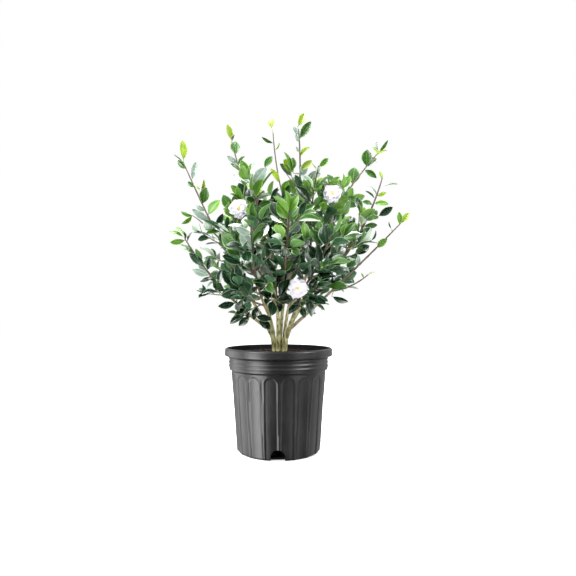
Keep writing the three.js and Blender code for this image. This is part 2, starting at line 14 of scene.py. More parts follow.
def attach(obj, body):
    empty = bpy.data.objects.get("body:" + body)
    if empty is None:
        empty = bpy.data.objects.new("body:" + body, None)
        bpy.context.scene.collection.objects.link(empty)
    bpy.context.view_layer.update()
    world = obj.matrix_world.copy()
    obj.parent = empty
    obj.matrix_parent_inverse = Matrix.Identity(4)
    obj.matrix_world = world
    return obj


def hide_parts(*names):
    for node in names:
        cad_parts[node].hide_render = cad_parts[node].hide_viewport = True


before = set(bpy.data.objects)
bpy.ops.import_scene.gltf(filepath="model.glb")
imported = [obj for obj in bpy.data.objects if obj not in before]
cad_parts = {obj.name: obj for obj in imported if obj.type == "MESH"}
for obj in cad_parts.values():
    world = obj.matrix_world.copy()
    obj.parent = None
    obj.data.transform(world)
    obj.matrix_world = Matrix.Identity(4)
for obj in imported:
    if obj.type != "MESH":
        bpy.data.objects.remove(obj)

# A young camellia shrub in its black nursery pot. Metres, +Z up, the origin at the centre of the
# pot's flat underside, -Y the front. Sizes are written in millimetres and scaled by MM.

LOG = logging.getLogger("camellia")
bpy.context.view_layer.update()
MM = 0.001
UP = Vector((0.0, 0.0, 1.0))
SEED = 2011
GOLDEN_ANGLE = 137.5
GROUND_LEVEL = 205.3
UV_RUN = 20.0  # the length of limb, in millimetres, for one unit of its UV

Colour = tuple[float, float, float, float]
Triple = tuple[float, float, float]


def linear(code: str) -> Colour:
    """The linear colour of a six-digit sRGB code.

    Args:
        code: the code, without a sign before it.

    Returns:
        The colour as a shader socket takes it, fully opaque.
    """
    parts = [int(code[i : i + 2], 16) / 255 for i in (0, 2, 4)]
    red, green, blue = (p / 12.92 if p <= 0.04045 else ((p + 0.055) / 1.055) ** 2.4 for p in parts)
    return (red, green, blue, 1.0)


def smooth_step(low: float, high: float, value: float) -> float:
    """0 below low, 1 above high and an even curve between them."""
    share = min(max((value - low) / (high - low), 0.0), 1.0)
    return share * share * (3.0 - 2.0 * share)


def mix(low: float, high: float, share: float) -> float:
    """The value at a share of the way from low to high."""
    return low + (high - low) * share


class Draw(IntEnum):
    """The last seed key of each kind of throw; the ones of the crown are those of the part's source."""

    LEAF_RISE = 11
    LEAF_ROLL = 12
    LEAF_SIZE = 13
    LEAF_WIDTH = 14
    LEAF_KIND = 15
    TWIG_RISE = 21
    TWIG_SPIN = 22
    HUE = 41
    PALE = 42
    PETAL_BEARING = 51
    PETAL_LENGTH = 52
    PETAL_TILT = 53
    PETAL_ROLL = 54
    STAMEN_LEAN = 61
    STAMEN_LENGTH = 62
    LAID_STALK = 71
    LAID_LEAN = 72
    LAID_SIDE = 73
    LAID_ROLL = 74
    LAID_KIND = 75
    CHIP_WIDTH = 901
    CHIP_DEPTH = 902
    CHIP_X = 903
    CHIP_Y = 904
    CHIP_Z = 905
    CHIP_RADIUS = 911
    CHIP_BEARING = 912
    CHIP_LENGTH = 913
    CHIP_TURN = 914
    CHIP_PITCH = 915
    CHIP_ROLL = 916
    BARK_NODE = 931


class Dice:
    """Numbers that depend only on the seed and on the keys they are asked with."""

    MASK = 0xFFFFFFFF

    @classmethod
    def chance(cls, *keys: int) -> float:
        """A number from 0 to 1.

        Args:
            keys: whole numbers that tell this throw from all others.

        Returns:
            The same number for the same keys, in every run.
        """
        state = SEED
        for key in keys:
            state = ((state ^ (key + 0x9E37)) * 0x9E3779B1) & cls.MASK
            state ^= state >> 15
            state = (state * 0x85EBCA6B) & cls.MASK
            state ^= state >> 13
        return state / 4294967296

    @classmethod
    def between(cls, low: float, high: float, *keys: int) -> float:
        """A number from low to high for these keys."""
        return mix(low, high, cls.chance(*keys))


# ---------------------------------------------------------------- shader building


class Wiring:
    """Adds nodes to one node tree and links them."""

    def __init__(self, tree: bpy.types.NodeTree) -> None:
        """Takes the tree to build in."""
        self.tree = tree

    def add(self, kind: str, values: dict[Any, Any] | None = None, **settings: Any) -> bpy.types.Node:
        """Adds one node.

        Args:
            kind: the node's type, without its ShaderNode prefix.
            values: its inputs by name or number; a socket is linked, anything else is set.
            settings: the node's own options.

        Returns:
            The new node.
        """
        node = self.tree.nodes.new("ShaderNode" + kind)
        for name, value in settings.items():
            setattr(node, name, value)
        self.put(node, values or {})
        return node

    def put(self, node: bpy.types.Node, values: dict[Any, Any]) -> None:
        """Fills inputs of a node.

        Args:
            node: the node.
            values: its inputs by name or number; a socket is linked, anything else is set.
        """
        for key, value in values.items():
            if isinstance(value, bpy.types.NodeSocket):
                self.tree.links.new(value, node.inputs[key])
            else:
                node.inputs[key].default_value = value

    def maths(self, operation: str, first: Any, second: Any = 0.0, clamp: bool = False) -> Any:
        """The result socket of one Math node."""
        node = self.add("Math", {0: first, 1: second}, operation=operation, use_clamp=clamp)
        return node.outputs[0]

    def blend(self, factor: Any, first: Any, second: Any) -> Any:
        """The result socket of a colour mix from first to second."""
        node = self.add("Mix", {0: factor, 6: first, 7: second}, data_type="RGBA")
        return node.outputs[2]

    def band(self, value: Any, low: float, high: float, start: float = 0.0, end: float = 1.0) -> Any:
        """A smooth change from start to end as value goes from low to high."""
        values = {0: value, 1: low, 2: high, 3: start, 4: end}
        return self.add("MapRange", values, interpolation_type="SMOOTHSTEP").outputs[0]

    def noise(self, vector: Any, scale: float, detail: float = 3.0, roughness: float = 0.55) -> Any:
        """The value of a noise texture."""
        values = {"Vector": vector, "Scale": scale, "Detail": detail, "Roughness": roughness}
        return self.add("TexNoise", values).outputs["Fac"]

    def group(self, tree: bpy.types.NodeTree, values: dict[str, Any]) -> bpy.types.Node:
        """A node group with its own values."""
        return self.add("Group", values, node_tree=tree)

    def tint(self, colour: Any, mask: Any, share: float, code: str) -> Any:
        """The colour with a share of another laid over it where the mask is white."""
        return self.blend(self.maths("MULTIPLY", mask, share), colour, linear(code))

    def scaled(self, vector: Any, factors: Triple) -> Any:
        """A vector multiplied by a factor for each axis."""
        return self.add("VectorMath", {0: vector, 1: factors}, operation="MULTIPLY").outputs[0]


class Effects:
    """Shader node groups that several finishes share."""

    PATCH_BAND = (0.34, 0.66)
    MIDRIB_BAND = (0.015, 0.05)
    VEIN_SLANT = 4.2
    VEIN_BAND = (0.02, 0.2)
    VEIN_RELIEF = 0.8
    MARGIN_BAND = (0.4, 0.47)
    BARK_RUN = (1.0, 0.22, 1.0)
    FISSURE_BAND = (0.4, 0.62)
    BARK_PATCH_SCALE = 0.3
    BARK_PATCH_BAND = (0.42, 0.6)
    DOT_BAND = (0.08, 0.2)
    DOT_RELIEF = 0.4

    def __init__(self) -> None:
        """Builds each group once."""
        self.mottle = self._mottle()
        self.blade = self._blade()
        self.bark = self._bark()

    @staticmethod
    def _tree(name: str, inputs: dict[str, str], outputs: Iterable[str]) -> tuple:
        """A new group tree.

        Args:
            name: the group's name.
            inputs: socket kinds by name, "Vector" or "Float".
            outputs: the names of its value outputs.

        Returns:
            The tree, its wiring, its input node and its output node.
        """
        tree = bpy.data.node_groups.new(name, "ShaderNodeTree")
        for label, kind in inputs.items():
            tree.interface.new_socket(label, in_out="INPUT", socket_type="NodeSocket" + kind)
        for label in outputs:
            tree.interface.new_socket(label, in_out="OUTPUT", socket_type="NodeSocketFloat")
        entry = tree.nodes.new("NodeGroupInput")
        leave = tree.nodes.new("NodeGroupOutput")
        return tree, Wiring(tree), entry, leave

    def _mottle(self) -> bpy.types.NodeTree:
        """Broad and fine unevenness.

        Returns:
            A group that gives a mask of soft patches and a fine grain.
        """
        inputs = {"Vector": "Vector", "Patch Scale": "Float", "Grain Scale": "Float"}
        tree, wiring, entry, leave = self._tree("mottle", inputs, ("Patches", "Grain"))
        place, patch_scale, grain_scale = (entry.outputs[number] for number in range(3))
        values = {"Vector": place, "Scale": patch_scale, "Detail": 2.0}
        patches = wiring.add("TexNoise", values).outputs["Fac"]
        values = {"Vector": place, "Scale": grain_scale, "Detail": 4.0}
        grain = wiring.add("TexNoise", values).outputs["Fac"]
        wiring.put(leave, {0: wiring.band(patches, *self.PATCH_BAND), 1: grain})
        return tree

    def _blade(self) -> bpy.types.NodeTree:
        """The pattern of a leaf, from its UV.

        Returns:
            A group that gives the midrib, the side veins, the margin and a height for relief.
        """
        outputs = ("Midrib", "Veins", "Margin", "Height")
        tree, wiring, entry, leave = self._tree(
            "leaf_blade", {"Vector": "Vector", "Vein Count": "Float"}, outputs)
        place = wiring.add("SeparateXYZ", {0: entry.outputs[0]})
        across = wiring.maths("ABSOLUTE", wiring.maths("SUBTRACT", place.outputs[0], 0.5))
        midrib = wiring.band(across, *self.MIDRIB_BAND, 1.0, 0.0)
        along = wiring.maths("MULTIPLY", place.outputs[1], entry.outputs[1])
        slant = wiring.maths("SUBTRACT", along, wiring.maths("MULTIPLY", across, self.VEIN_SLANT))
        wave = wiring.maths("ABSOLUTE", wiring.maths("SUBTRACT", wiring.maths("FRACT", slant), 0.5))
        veins = wiring.band(wave, *self.VEIN_BAND, 1.0, 0.0)
        margin = wiring.band(across, *self.MARGIN_BAND)
        height = wiring.maths("SUBTRACT", wiring.maths("MULTIPLY", wave, self.VEIN_RELIEF), midrib)
        wiring.put(leave, dict(enumerate((midrib, veins, margin, height))))
        return tree

    def _bark(self) -> bpy.types.NodeTree:
        """Bark, from a UV that runs round and along a limb.

        Returns:
            A group that gives fissures, patches, corky dots and a height for relief.
        """
        outputs = ("Fissures", "Patches", "Dots", "Height")
        tree, wiring, entry, leave = self._tree(
            "bark", {"Vector": "Vector", "Scale": "Float"}, outputs)
        place, scale = entry.outputs[0], entry.outputs[1]
        values = {"Vector": wiring.scaled(place, self.BARK_RUN), "Scale": scale, "Detail": 5.0}
        streaks = wiring.add("TexNoise", values).outputs["Fac"]
        fissures = wiring.band(streaks, *self.FISSURE_BAND)
        wide = wiring.maths("MULTIPLY", scale, self.BARK_PATCH_SCALE)
        patches = wiring.add("TexNoise", {"Vector": place, "Scale": wide, "Detail": 2.0})
        patches = wiring.band(patches.outputs["Fac"], *self.BARK_PATCH_BAND)
        cells = wiring.add("TexVoronoi", {"Vector": place, "Scale": scale})
        dots = wiring.band(cells.outputs["Distance"], *self.DOT_BAND, 1.0, 0.0)
        height = wiring.maths("ADD", streaks, wiring.maths("MULTIPLY", dots, self.DOT_RELIEF))
        wiring.put(leave, dict(enumerate((fissures, patches, dots, height))))
        return tree


class Finish:
    """A material with one Principled shader."""

    name: str

    def make(self, effects: Effects) -> bpy.types.Material:
        """Builds the material.

        Args:
            effects: the shared node groups.

        Returns:
            The new material.
        """
        material = bpy.data.materials.new(self.name)
        material.use_nodes = True
        tree = material.node_tree
        tree.nodes.clear()
        wiring = Wiring(tree)
        shader = wiring.add("BsdfPrincipled")
        output = wiring.add("OutputMaterial")
        tree.links.new(shader.outputs[0], output.inputs[0])
        self.dress(wiring, shader, effects)
        return material

    def dress(self, wiring: Wiring, shader: bpy.types.Node, effects: Effects) -> None:
        """Feeds the shader; each finish has its own way."""
        raise NotImplementedError

    @staticmethod
    def mottled(wiring: Wiring, effects: Effects, place: Any, patch: float, grain: float) -> Any:
        """The outputs of the mottle group, with a scale for its patches and one for its grain."""
        values = {"Vector": place, "Patch Scale": patch, "Grain Scale": grain}
        return wiring.group(effects.mottle, values).outputs

    @staticmethod
    def feed(wiring: Wiring, shader: bpy.types.Node, **sockets: Any) -> None:
        """Links or sets shader inputs, named with underscores for spaces."""
        wiring.put(shader, {label.replace("_", " "): value for label, value in sockets.items()})

    @staticmethod
    def relief(wiring: Wiring, height: Any, distance: float, strength: float = 1.0) -> Any:
        """The normal of a Bump node of a real depth in metres."""
        values = {"Height": height, "Distance": distance, "Strength": strength}
        return wiring.add("Bump", values).outputs[0]


@dataclass(frozen=True)
class PotPlastic(Finish):
    """Blow-moulded black plastic with a satin face, faint flow marks and dust."""

    name: str = "pot_plastic"
    face: str = "151616"
    worn: str = "1c1d1e"
    dust: str = "3a3834"
    rough: float = 0.36
    index: float = 1.5
    patch_scale: float = 16.0
    grain_scale: float = 900.0
    streak_scale: float = 120.0
    streak_run: Triple = (1.0, 1.0, 0.12)
    streak_band: tuple[float, float] = (0.3, 0.7)
    streak_relief: float = 0.8
    dust_scale: float = 42.0
    dust_band: tuple[float, float] = (0.56, 0.78)
    dust_share: float = 0.1
    rough_spread: float = 0.03
    depth: float = 0.00012

    def dress(self, wiring: Wiring, shader: bpy.types.Node, effects: Effects) -> None:
        """Mottled charcoal, a fine moulded grain and a little dust in patches.

        Args:
            wiring: the material's nodes.
            shader: its Principled shader.
            effects: the shared node groups.
        """
        place = wiring.add("TexCoord").outputs["Object"]
        uneven = self.mottled(wiring, effects, place, self.patch_scale, self.grain_scale)
        streaks = wiring.noise(wiring.scaled(place, self.streak_run), self.streak_scale)
        colour = wiring.blend(uneven["Patches"], linear(self.face), linear(self.worn))
        dusty = wiring.band(wiring.noise(place, self.dust_scale), *self.dust_band)
        dusty = wiring.maths("MULTIPLY", dusty, self.dust_share)
        colour = wiring.blend(dusty, colour, linear(self.dust))
        least, most = self.rough - self.rough_spread, self.rough + self.rough_spread
        rough = wiring.maths("ADD", wiring.band(streaks, *self.streak_band, least, most), dusty)
        grain = wiring.maths("MULTIPLY", streaks, self.streak_relief)
        grain = wiring.maths("ADD", uneven["Grain"], grain)
        self.feed(wiring, shader, Base_Color=colour, Roughness=rough, IOR=self.index,
                  Normal=self.relief(wiring, grain, self.depth))


@dataclass(frozen=True)
class BarkMixFinish(Finish):
    """Damp composted bark, dark red-brown, in crumbs and chips."""

    name: str = "bark_mix"
    damp_and_pit_shade: str = "0d0706"
    dry: str = "24130f"
    scale: float = 90.0
    grain_scale: float = 700.0
    crumb_scale: float = 260.0
    crumb_band: tuple[float, float] = (0.1, 0.7)
    rough: float = 0.92
    depth: float = 0.0012

    def dress(self, wiring: Wiring, shader: bpy.types.Node, effects: Effects) -> None:
        """Crumbs of two browns with deep relief; the darker brown lies in damp patches and in the pits of
        the relief, where it is a painted shade.

        Args:
            wiring: the material's nodes.
            shader: its Principled shader.
            effects: the shared node groups.
        """
        place = wiring.add("TexCoord").outputs["Object"]
        uneven = self.mottled(wiring, effects, place, self.scale, self.grain_scale)
        crumbs = wiring.add("TexVoronoi", {"Vector": place, "Scale": self.crumb_scale})
        crumbs = crumbs.outputs["Distance"]
        # The darker brown fills the pits of the crumb relief, a painted shade, as well as the damp
        # patches.
        tone = wiring.maths("MULTIPLY", uneven["Patches"], wiring.band(crumbs, *self.crumb_band))
        colour = wiring.blend(tone, linear(self.damp_and_pit_shade), linear(self.dry))
        height = wiring.maths("ADD", crumbs, uneven["Grain"])
        self.feed(wiring, shader, Base_Color=colour, Roughness=self.rough,
                  Normal=self.relief(wiring, height, self.depth))


@dataclass(frozen=True)
class BarkFinish(Finish):
    """Thin bark that is pale where it is old and low, and darker above."""

    name: str
    low: str
    high: str
    shade: str
    dot: str
    low_height: float = 0.22
    high_height: float = 0.38
    scale: float = 9.0
    rough: float = 0.62
    depth: float = 0.0005
    patch_share: float = 0.65
    furrow_share: float = 0.5
    dot_share: float = 0.5

    def dress(self, wiring: Wiring, shader: bpy.types.Node, effects: Effects) -> None:
        """Patches, lengthwise fissures and corky dots over a slow change with height.

        Args:
            wiring: the material's nodes.
            shader: its Principled shader.
            effects: the shared node groups.
        """
        coords = wiring.add("TexCoord")
        height = wiring.add("SeparateXYZ", {0: coords.outputs["Object"]}).outputs[2]
        values = {"Vector": coords.outputs["UV"], "Scale": self.scale}
        bark = wiring.group(effects.bark, values).outputs
        risen = wiring.band(height, self.low_height, self.high_height)
        colour = wiring.blend(risen, linear(self.low), linear(self.high))
        colour = wiring.tint(colour, bark["Patches"], self.patch_share, self.shade)
        colour = wiring.tint(colour, bark["Fissures"], self.furrow_share, self.shade)
        colour = wiring.tint(colour, bark["Dots"], self.dot_share, self.dot)
        self.feed(wiring, shader, Base_Color=colour, Roughness=self.rough,
                  Normal=self.relief(wiring, bark["Height"], self.depth))


@dataclass(frozen=True)
class LeafFinish(Finish):
    """One side of a leaf: a base colour, a paler midrib and veins, a pale margin that is a painted
    highlight on its edge, and its gloss.
    """

    name: str
    face: str
    shade: str
    rib: str
    edge: str
    gloss: float = 0.32
    vein_share: float = 0.14
    rib_share: float = 0.55
    edge_highlight_share: float = 0.6
    depth: float = 0.00012
    coat: float = 0.25
    vein_count: float = 7.0
    patch_scale: float = 55.0
    grain_scale: float = 1400.0
    rough_spread: float = 0.05
    index: float = 1.45
    coat_rough: float = 0.22

    def dress(self, wiring: Wiring, shader: bpy.types.Node, effects: Effects) -> None:
        """Soft mottling, then the drawn pattern of the blade, with waxy gloss.

        Args:
            wiring: the material's nodes.
            shader: its Principled shader.
            effects: the shared node groups.
        """
        coords = wiring.add("TexCoord").outputs
        values = {"Vector": coords["UV"], "Vein Count": self.vein_count}
        blade = wiring.group(effects.blade, values).outputs
        uneven = self.mottled(wiring, effects, coords["Object"], self.patch_scale, self.grain_scale)
        colour = wiring.blend(uneven["Patches"], linear(self.face), linear(self.shade))
        colour = wiring.tint(colour, blade["Veins"], self.vein_share, self.rib)
        colour = wiring.tint(colour, blade["Midrib"], self.rib_share, self.rib)
        # The pale band along the margin is a painted highlight on the leaf's edge.
        colour = wiring.tint(colour, blade["Margin"], self.edge_highlight_share, self.edge)
        rough = wiring.maths("MULTIPLY", uneven["Grain"], 2 * self.rough_spread)
        rough = wiring.maths("ADD", rough, self.gloss - self.rough_spread)
        self.feed(wiring, shader, Base_Color=colour, Roughness=rough, IOR=self.index,
                  Coat_Weight=self.coat, Coat_Roughness=self.coat_rough,
                  Normal=self.relief(wiring, blade["Height"], self.depth))


@dataclass(frozen=True)
class PetalFinish(Finish):
    """A thin white petal, faintly lilac towards its rim and cream at its heart."""

    name: str = "petal_white"
    heart: str = "f8f4d8"
    face: str = "f4f1f4"
    rim: str = "d9d1de"
    heart_band: tuple[float, float] = (0.05, 0.35)
    rim_band: tuple[float, float] = (0.45, 1.0)
    thread_run: Triple = (26.0, 2.0, 1.0)
    thread_band: tuple[float, float] = (0.3, 0.7)
    thread_tint: tuple[float, float] = (0.35, 0.9)
    rough: float = 0.55
    sheen: float = 0.25
    glow_through: float = 0.15
    glow_depth: float = 0.004
    depth: float = 0.0004

    def dress(self, wiring: Wiring, shader: bpy.types.Node, effects: Effects) -> None:
        """A change of tint along the petal, fine lengthwise veins and a silky sheen.

        Args:
            wiring: the material's nodes.
            shader: its Principled shader.
            effects: the shared node groups; not used.
        """
        place = wiring.add("TexCoord").outputs["UV"]
        along = wiring.add("SeparateXYZ", {0: place}).outputs[1]
        hearted = wiring.band(along, *self.heart_band)
        colour = wiring.blend(hearted, linear(self.heart), linear(self.face))
        threads = wiring.noise(wiring.scaled(place, self.thread_run), 1.0, 2.0)
        streaks = wiring.band(threads, *self.thread_band, *self.thread_tint)
        rimmed = wiring.maths("MULTIPLY", wiring.band(along, *self.rim_band), streaks)
        colour = wiring.blend(rimmed, colour, linear(self.rim))
        self.feed(wiring, shader, Base_Color=colour, Roughness=self.rough,
                  Sheen_Weight=self.sheen, Subsurface_Weight=self.glow_through,
                  Subsurface_Scale=self.glow_depth,
                  Normal=self.relief(wiring, threads, self.depth))


@dataclass(frozen=True)
class GrainFinish(Finish):
    """A small matt part in two tones, such as pollen, bud scales or green shoots."""

    name: str
    face: str
    shade: str
    rough: float = 0.6
    scale: float = 260.0
    depth: float = 0.0003
    grain_scale: float = 1800.0

    def dress(self, wiring: Wiring, shader: bpy.types.Node, effects: Effects) -> None:
        """Two tones in soft patches with a fine grain.

        Args:
            wiring: the material's nodes.
            shader: its Principled shader.
            effects: the shared node groups.
        """
        place = wiring.add("TexCoord").outputs["Object"]
        uneven = self.mottled(wiring, effects, place, self.scale, self.grain_scale)
        colour = wiring.blend(uneven["Patches"], linear(self.face), linear(self.shade))
        self.feed(wiring, shader, Base_Color=colour, Roughness=self.rough,
                  Normal=self.relief(wiring, uneven["Grain"], self.depth))


@dataclass(frozen=True)
class FloorFinish(Finish):
    """The studio's matt white floor. Its glow fades out across a ring, in metres, and is gone inside it,
    which leaves a painted shade under and just round the pot.
    """

    name: str = "studio_floor"
    face: str = "f4f4f4"
    shade: str = "efefef"
    glow: float = 0.66
    shade_ring: tuple[float, float] = (0.07, 0.098)
    scale: float = 3.0
    rough: float = 0.8

    def dress(self, wiring: Wiring, shader: bpy.types.Node, effects: Effects) -> None:
        """Near-white paint, lifted to the backdrop's white except under and just round the pot, where it
        is left darker as a painted shade.

        Args:
            wiring: the material's nodes.
            shader: its Principled shader.
            effects: the shared node groups; not used.
        """
        place = wiring.add("TexCoord").outputs["Object"]
        uneven = wiring.noise(place, self.scale)
        colour = wiring.blend(uneven, linear(self.face), linear(self.shade))
        seen = wiring.add("LightPath").outputs["Is Camera Ray"]
        reach = wiring.add("VectorMath", {0: place}, operation="LENGTH").outputs["Value"]
        lift = wiring.maths("MULTIPLY", seen, self.glow)
        # The glow is left out inside the ring, a painted shade under the pot.
        lift = wiring.maths("MULTIPLY", lift, wiring.band(reach, *self.shade_ring))
        self.feed(wiring, shader, Base_Color=colour, Roughness=self.rough,
                  Emission_Strength=lift, Emission_Color=(1.0, 1.0, 1.0, 1.0))


class Hue(Enum):
    """The hues of leaf, from the newest to the oldest, and grey-green ones that are a painted sheen. The
    darker hues go to leaves low and inside the crown, partly for their age and partly as a painted shade.
    """

    LIME = "lime"
    FRESH = "fresh"
    MID = "mid"
    DEEP = "deep"
    PALE = "pale"


# The fourth colour of each leaf finish, its edge, is a painted highlight along the margin.
LEAF_FACES = {
    Hue.LIME: LeafFinish("leaf_lime", "6c860e", "7e9a18", "a2b644", "aebe50", gloss=0.42, coat=0.05,
                         vein_share=0.1),
    Hue.FRESH: LeafFinish("leaf_fresh", "3a6a0e", "467814", "8cac48", "b4cf7c", gloss=0.4, coat=0.08),
    Hue.MID: LeafFinish("leaf_mid", "21480a", "29550e", "608438", "9cba80", gloss=0.32, coat=0.25),
    Hue.DEEP: LeafFinish("leaf_deep", "091e0c", "0e2a13", "325c3b", "7ea082", gloss=0.24, coat=0.6),
    # The pale finish is grey-green all over: a painted sheen, the reflection of the white surroundings.
    Hue.PALE: LeafFinish("leaf_painted_sheen", "66796c", "8a9c8e", "b4c4b6", "ccd8cc", gloss=0.36, coat=0.15),
}
LEAF_BACKS = {
    Hue.LIME: LeafFinish("leaf_lime_back", "96ae40", "a4ba54", "cad88a", "cedb88", gloss=0.5, coat=0.0),
    Hue.FRESH: LeafFinish("leaf_fresh_back", "5c8632", "67913e", "98b86e", "abc582", gloss=0.5, coat=0.0),
    Hue.MID: LeafFinish("leaf_mid_back", "42692e", "4d743a", "7da068", "96b582", gloss=0.48, coat=0.0),
    Hue.DEEP: LeafFinish("leaf_deep_back", "264829", "315536", "628464", "7c9c80", gloss=0.45, coat=0.0),
    # The pale back is grey-green too, the same painted sheen.
    Hue.PALE: LeafFinish("leaf_painted_sheen_back", "9cae9a", "abbaa8", "c6d0c2", "cdd8cc", gloss=0.5, coat=0.0),
}


# ---------------------------------------------------------------- shapes and pieces


@dataclass
class Shape:
    """A mesh as arrays, so that hundreds of copies can be joined in one piece."""

    points: np.ndarray
    corners: np.ndarray
    sizes: np.ndarray
    uvs: np.ndarray
    slots: np.ndarray

    @classmethod
    def of(cls, bm: bmesh.types.BMesh) -> "Shape":
        """Reads a bmesh that has a UV layer.

        Args:
            bm: the mesh to read; it is freed.

        Returns:
            The same mesh as arrays.
        """
        layer = bm.loops.layers.uv.verify()
        bm.verts.index_update()
        points = np.array([v.co[:] for v in bm.verts], float)
        corners = np.array([loop.vert.index for f in bm.faces for loop in f.loops], int)
        sizes = np.array([len(f.loops) for f in bm.faces], int)
        uvs = np.array([loop[layer].uv[:] for f in bm.faces for loop in f.loops], float)
        slots = np.array([f.material_index for f in bm.faces], int)
        bm.free()
        return cls(points, corners, sizes, uvs, slots)

    def placed(self, matrix: Matrix) -> "Shape":
        """A copy carried by a 4 by 4 matrix."""
        turn = np.array(matrix)
        return replace(self, points=self.points @ turn[:3, :3].T + turn[:3, 3])


def tube(path: Sequence[Vector], radii: Sequence[float], sides: int, slot: int = 0) -> Shape:
    """A closed tube along a path, for twigs, stalks and filaments.

    Args:
        path: the points of its middle, in metres.
        radii: its half thickness at each of them.
        sides: the number of sides.
        slot: the number of its finish.

    Returns:
        The tube, with a UV that runs round it and along it.
    """
    middle = np.array([p[:] for p in path], float)
    ahead = np.gradient(middle, axis=0)
    ahead /= np.linalg.norm(ahead, axis=1, keepdims=True)
    across = np.cross(ahead[0], (0.0, 0.0, 1.0) if abs(ahead[0][2]) < 0.9 else (1.0, 0.0, 0.0))
    rings = []
    lengths = np.concatenate([[0.0], np.cumsum(np.linalg.norm(np.diff(middle, axis=0), axis=1))])
    for number, point in enumerate(middle):
        across = across - ahead[number] * np.dot(across, ahead[number])
        across /= np.linalg.norm(across)
        over = np.cross(ahead[number], across)
        angles = np.arange(sides) * (2 * math.pi / sides)
        circle = np.outer(np.cos(angles), across) + np.outer(np.sin(angles), over)
        rings.append(point + radii[number] * circle)
    ends = [middle[0] - ahead[0] * radii[0] * 0.5], [middle[-1] + ahead[-1] * radii[-1]]
    points = np.concatenate([*rings, *ends])
    foot, tip = len(points) - 2, len(points) - 1
    heights = lengths / (UV_RUN * MM)
    corners, sizes, uvs = [], [], []
    last = (len(middle) - 1) * sides
    for ring in range(len(middle) - 1):
        for side in range(sides):
            a, b = ring * sides + side, ring * sides + (side + 1) % sides
            corners += [a, b, b + sides, a + sides]
            sizes.append(4)
            low, high = heights[ring], heights[ring + 1]
            near, far = side / sides, (side + 1) / sides
            uvs += [(near, low), (far, low), (far, high), (near, high)]
    for side in range(sides):
        corners += [foot, (side + 1) % sides, side, tip, last + side, last + (side + 1) % sides]
        sizes += [3, 3]
        uvs += [(0.5, 0.0)] * 3 + [(0.5, heights[-1])] * 3
    slots = np.full(len(sizes), slot, int)
    return Shape(points, np.array(corners, int), np.array(sizes, int), np.array(uvs, float), slots)


class Piece:
    """A finished object of the plant or its pot."""

    @staticmethod
    def settle(obj: bpy.types.Object, slot: str, nodes: Sequence[str]) -> bpy.types.Object:
        """Puts a piece in the frame.

        Args:
            obj: the piece.
            slot: the record's material slot; not used.
            nodes: the CAD nodes it stands for.

        Returns:
            The same object.
        """
        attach(obj, "root")
        if nodes:
            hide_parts(*nodes)
        LOG.info("%s: %d faces for %s", obj.name, len(obj.data.polygons), ", ".join(nodes) or "no node")
        return obj

    @staticmethod
    def from_bmesh(name: str, bm: bmesh.types.BMesh, finishes: Sequence[bpy.types.Material],
                   crease: float = 40.0) -> bpy.types.Object:
        """An object from a bmesh.

        Args:
            name: the piece's name.
            bm: its mesh; it is freed.
            finishes: its materials in slot order.
            crease: the angle in degrees above which an edge stays sharp.

        Returns:
            The new object, linked to the scene.
        """
        mesh = bpy.data.meshes.new(name)
        bm.to_mesh(mesh)
        bm.free()
        return Piece.from_mesh(name, mesh, finishes, crease)

    @staticmethod
    def from_mesh(name: str, mesh: bpy.types.Mesh, finishes: Sequence[bpy.types.Material],
                  crease: float) -> bpy.types.Object:
        """An object from a mesh, shaded smooth with creases.

        Args:
            name: the piece's name.
            mesh: its mesh, without materials.
            finishes: its materials in slot order.
            crease: the angle in degrees above which an edge stays sharp.

        Returns:
            The new object, linked to the scene.
        """
        for finish in finishes:
            mesh.materials.append(finish)
        mesh.shade_smooth()
        mesh.set_sharp_from_angle(angle=math.radians(crease))
        obj = bpy.data.objects.new(name, mesh)
        bpy.context.scene.collection.objects.link(obj)
        return obj

    @staticmethod
    def from_shapes(name: str, shapes: Sequence[Shape], finishes: Sequence[bpy.types.Material],
                    crease: float = 60.0) -> bpy.types.Object:
        """Joins many shapes in one object.

        Args:
            name: the piece's name.
            shapes: its parts.
            finishes: its materials in slot order.
            crease: the angle in degrees above which an edge stays sharp.

        Returns:
            The new object, linked to the scene.
        """
        mesh = bpy.data.meshes.new(name)
        offsets = np.cumsum([0] + [len(s.points) for s in shapes[:-1]])
        points = np.concatenate([s.points for s in shapes])
        corners = np.concatenate([s.corners + start for s, start in zip(shapes, offsets)])
        sizes = np.concatenate([s.sizes for s in shapes])
        mesh.vertices.add(len(points))
        mesh.vertices.foreach_set("co", points.ravel())
        mesh.loops.add(len(corners))
        mesh.loops.foreach_set("vertex_index", corners)
        mesh.polygons.add(len(sizes))
        mesh.polygons.foreach_set("loop_start", np.concatenate([[0], np.cumsum(sizes)[:-1]]))
        mesh.polygons.foreach_set("material_index", np.concatenate([s.slots for s in shapes]))
        mesh.update(calc_edges=True)
        layer = mesh.uv_layers.new(name="UVMap")
        layer.uv.foreach_set("vector", np.concatenate([s.uvs for s in shapes]).ravel())
        return Piece.from_mesh(name, mesh, finishes, crease)


# ---------------------------------------------------------------- pot and bark mix


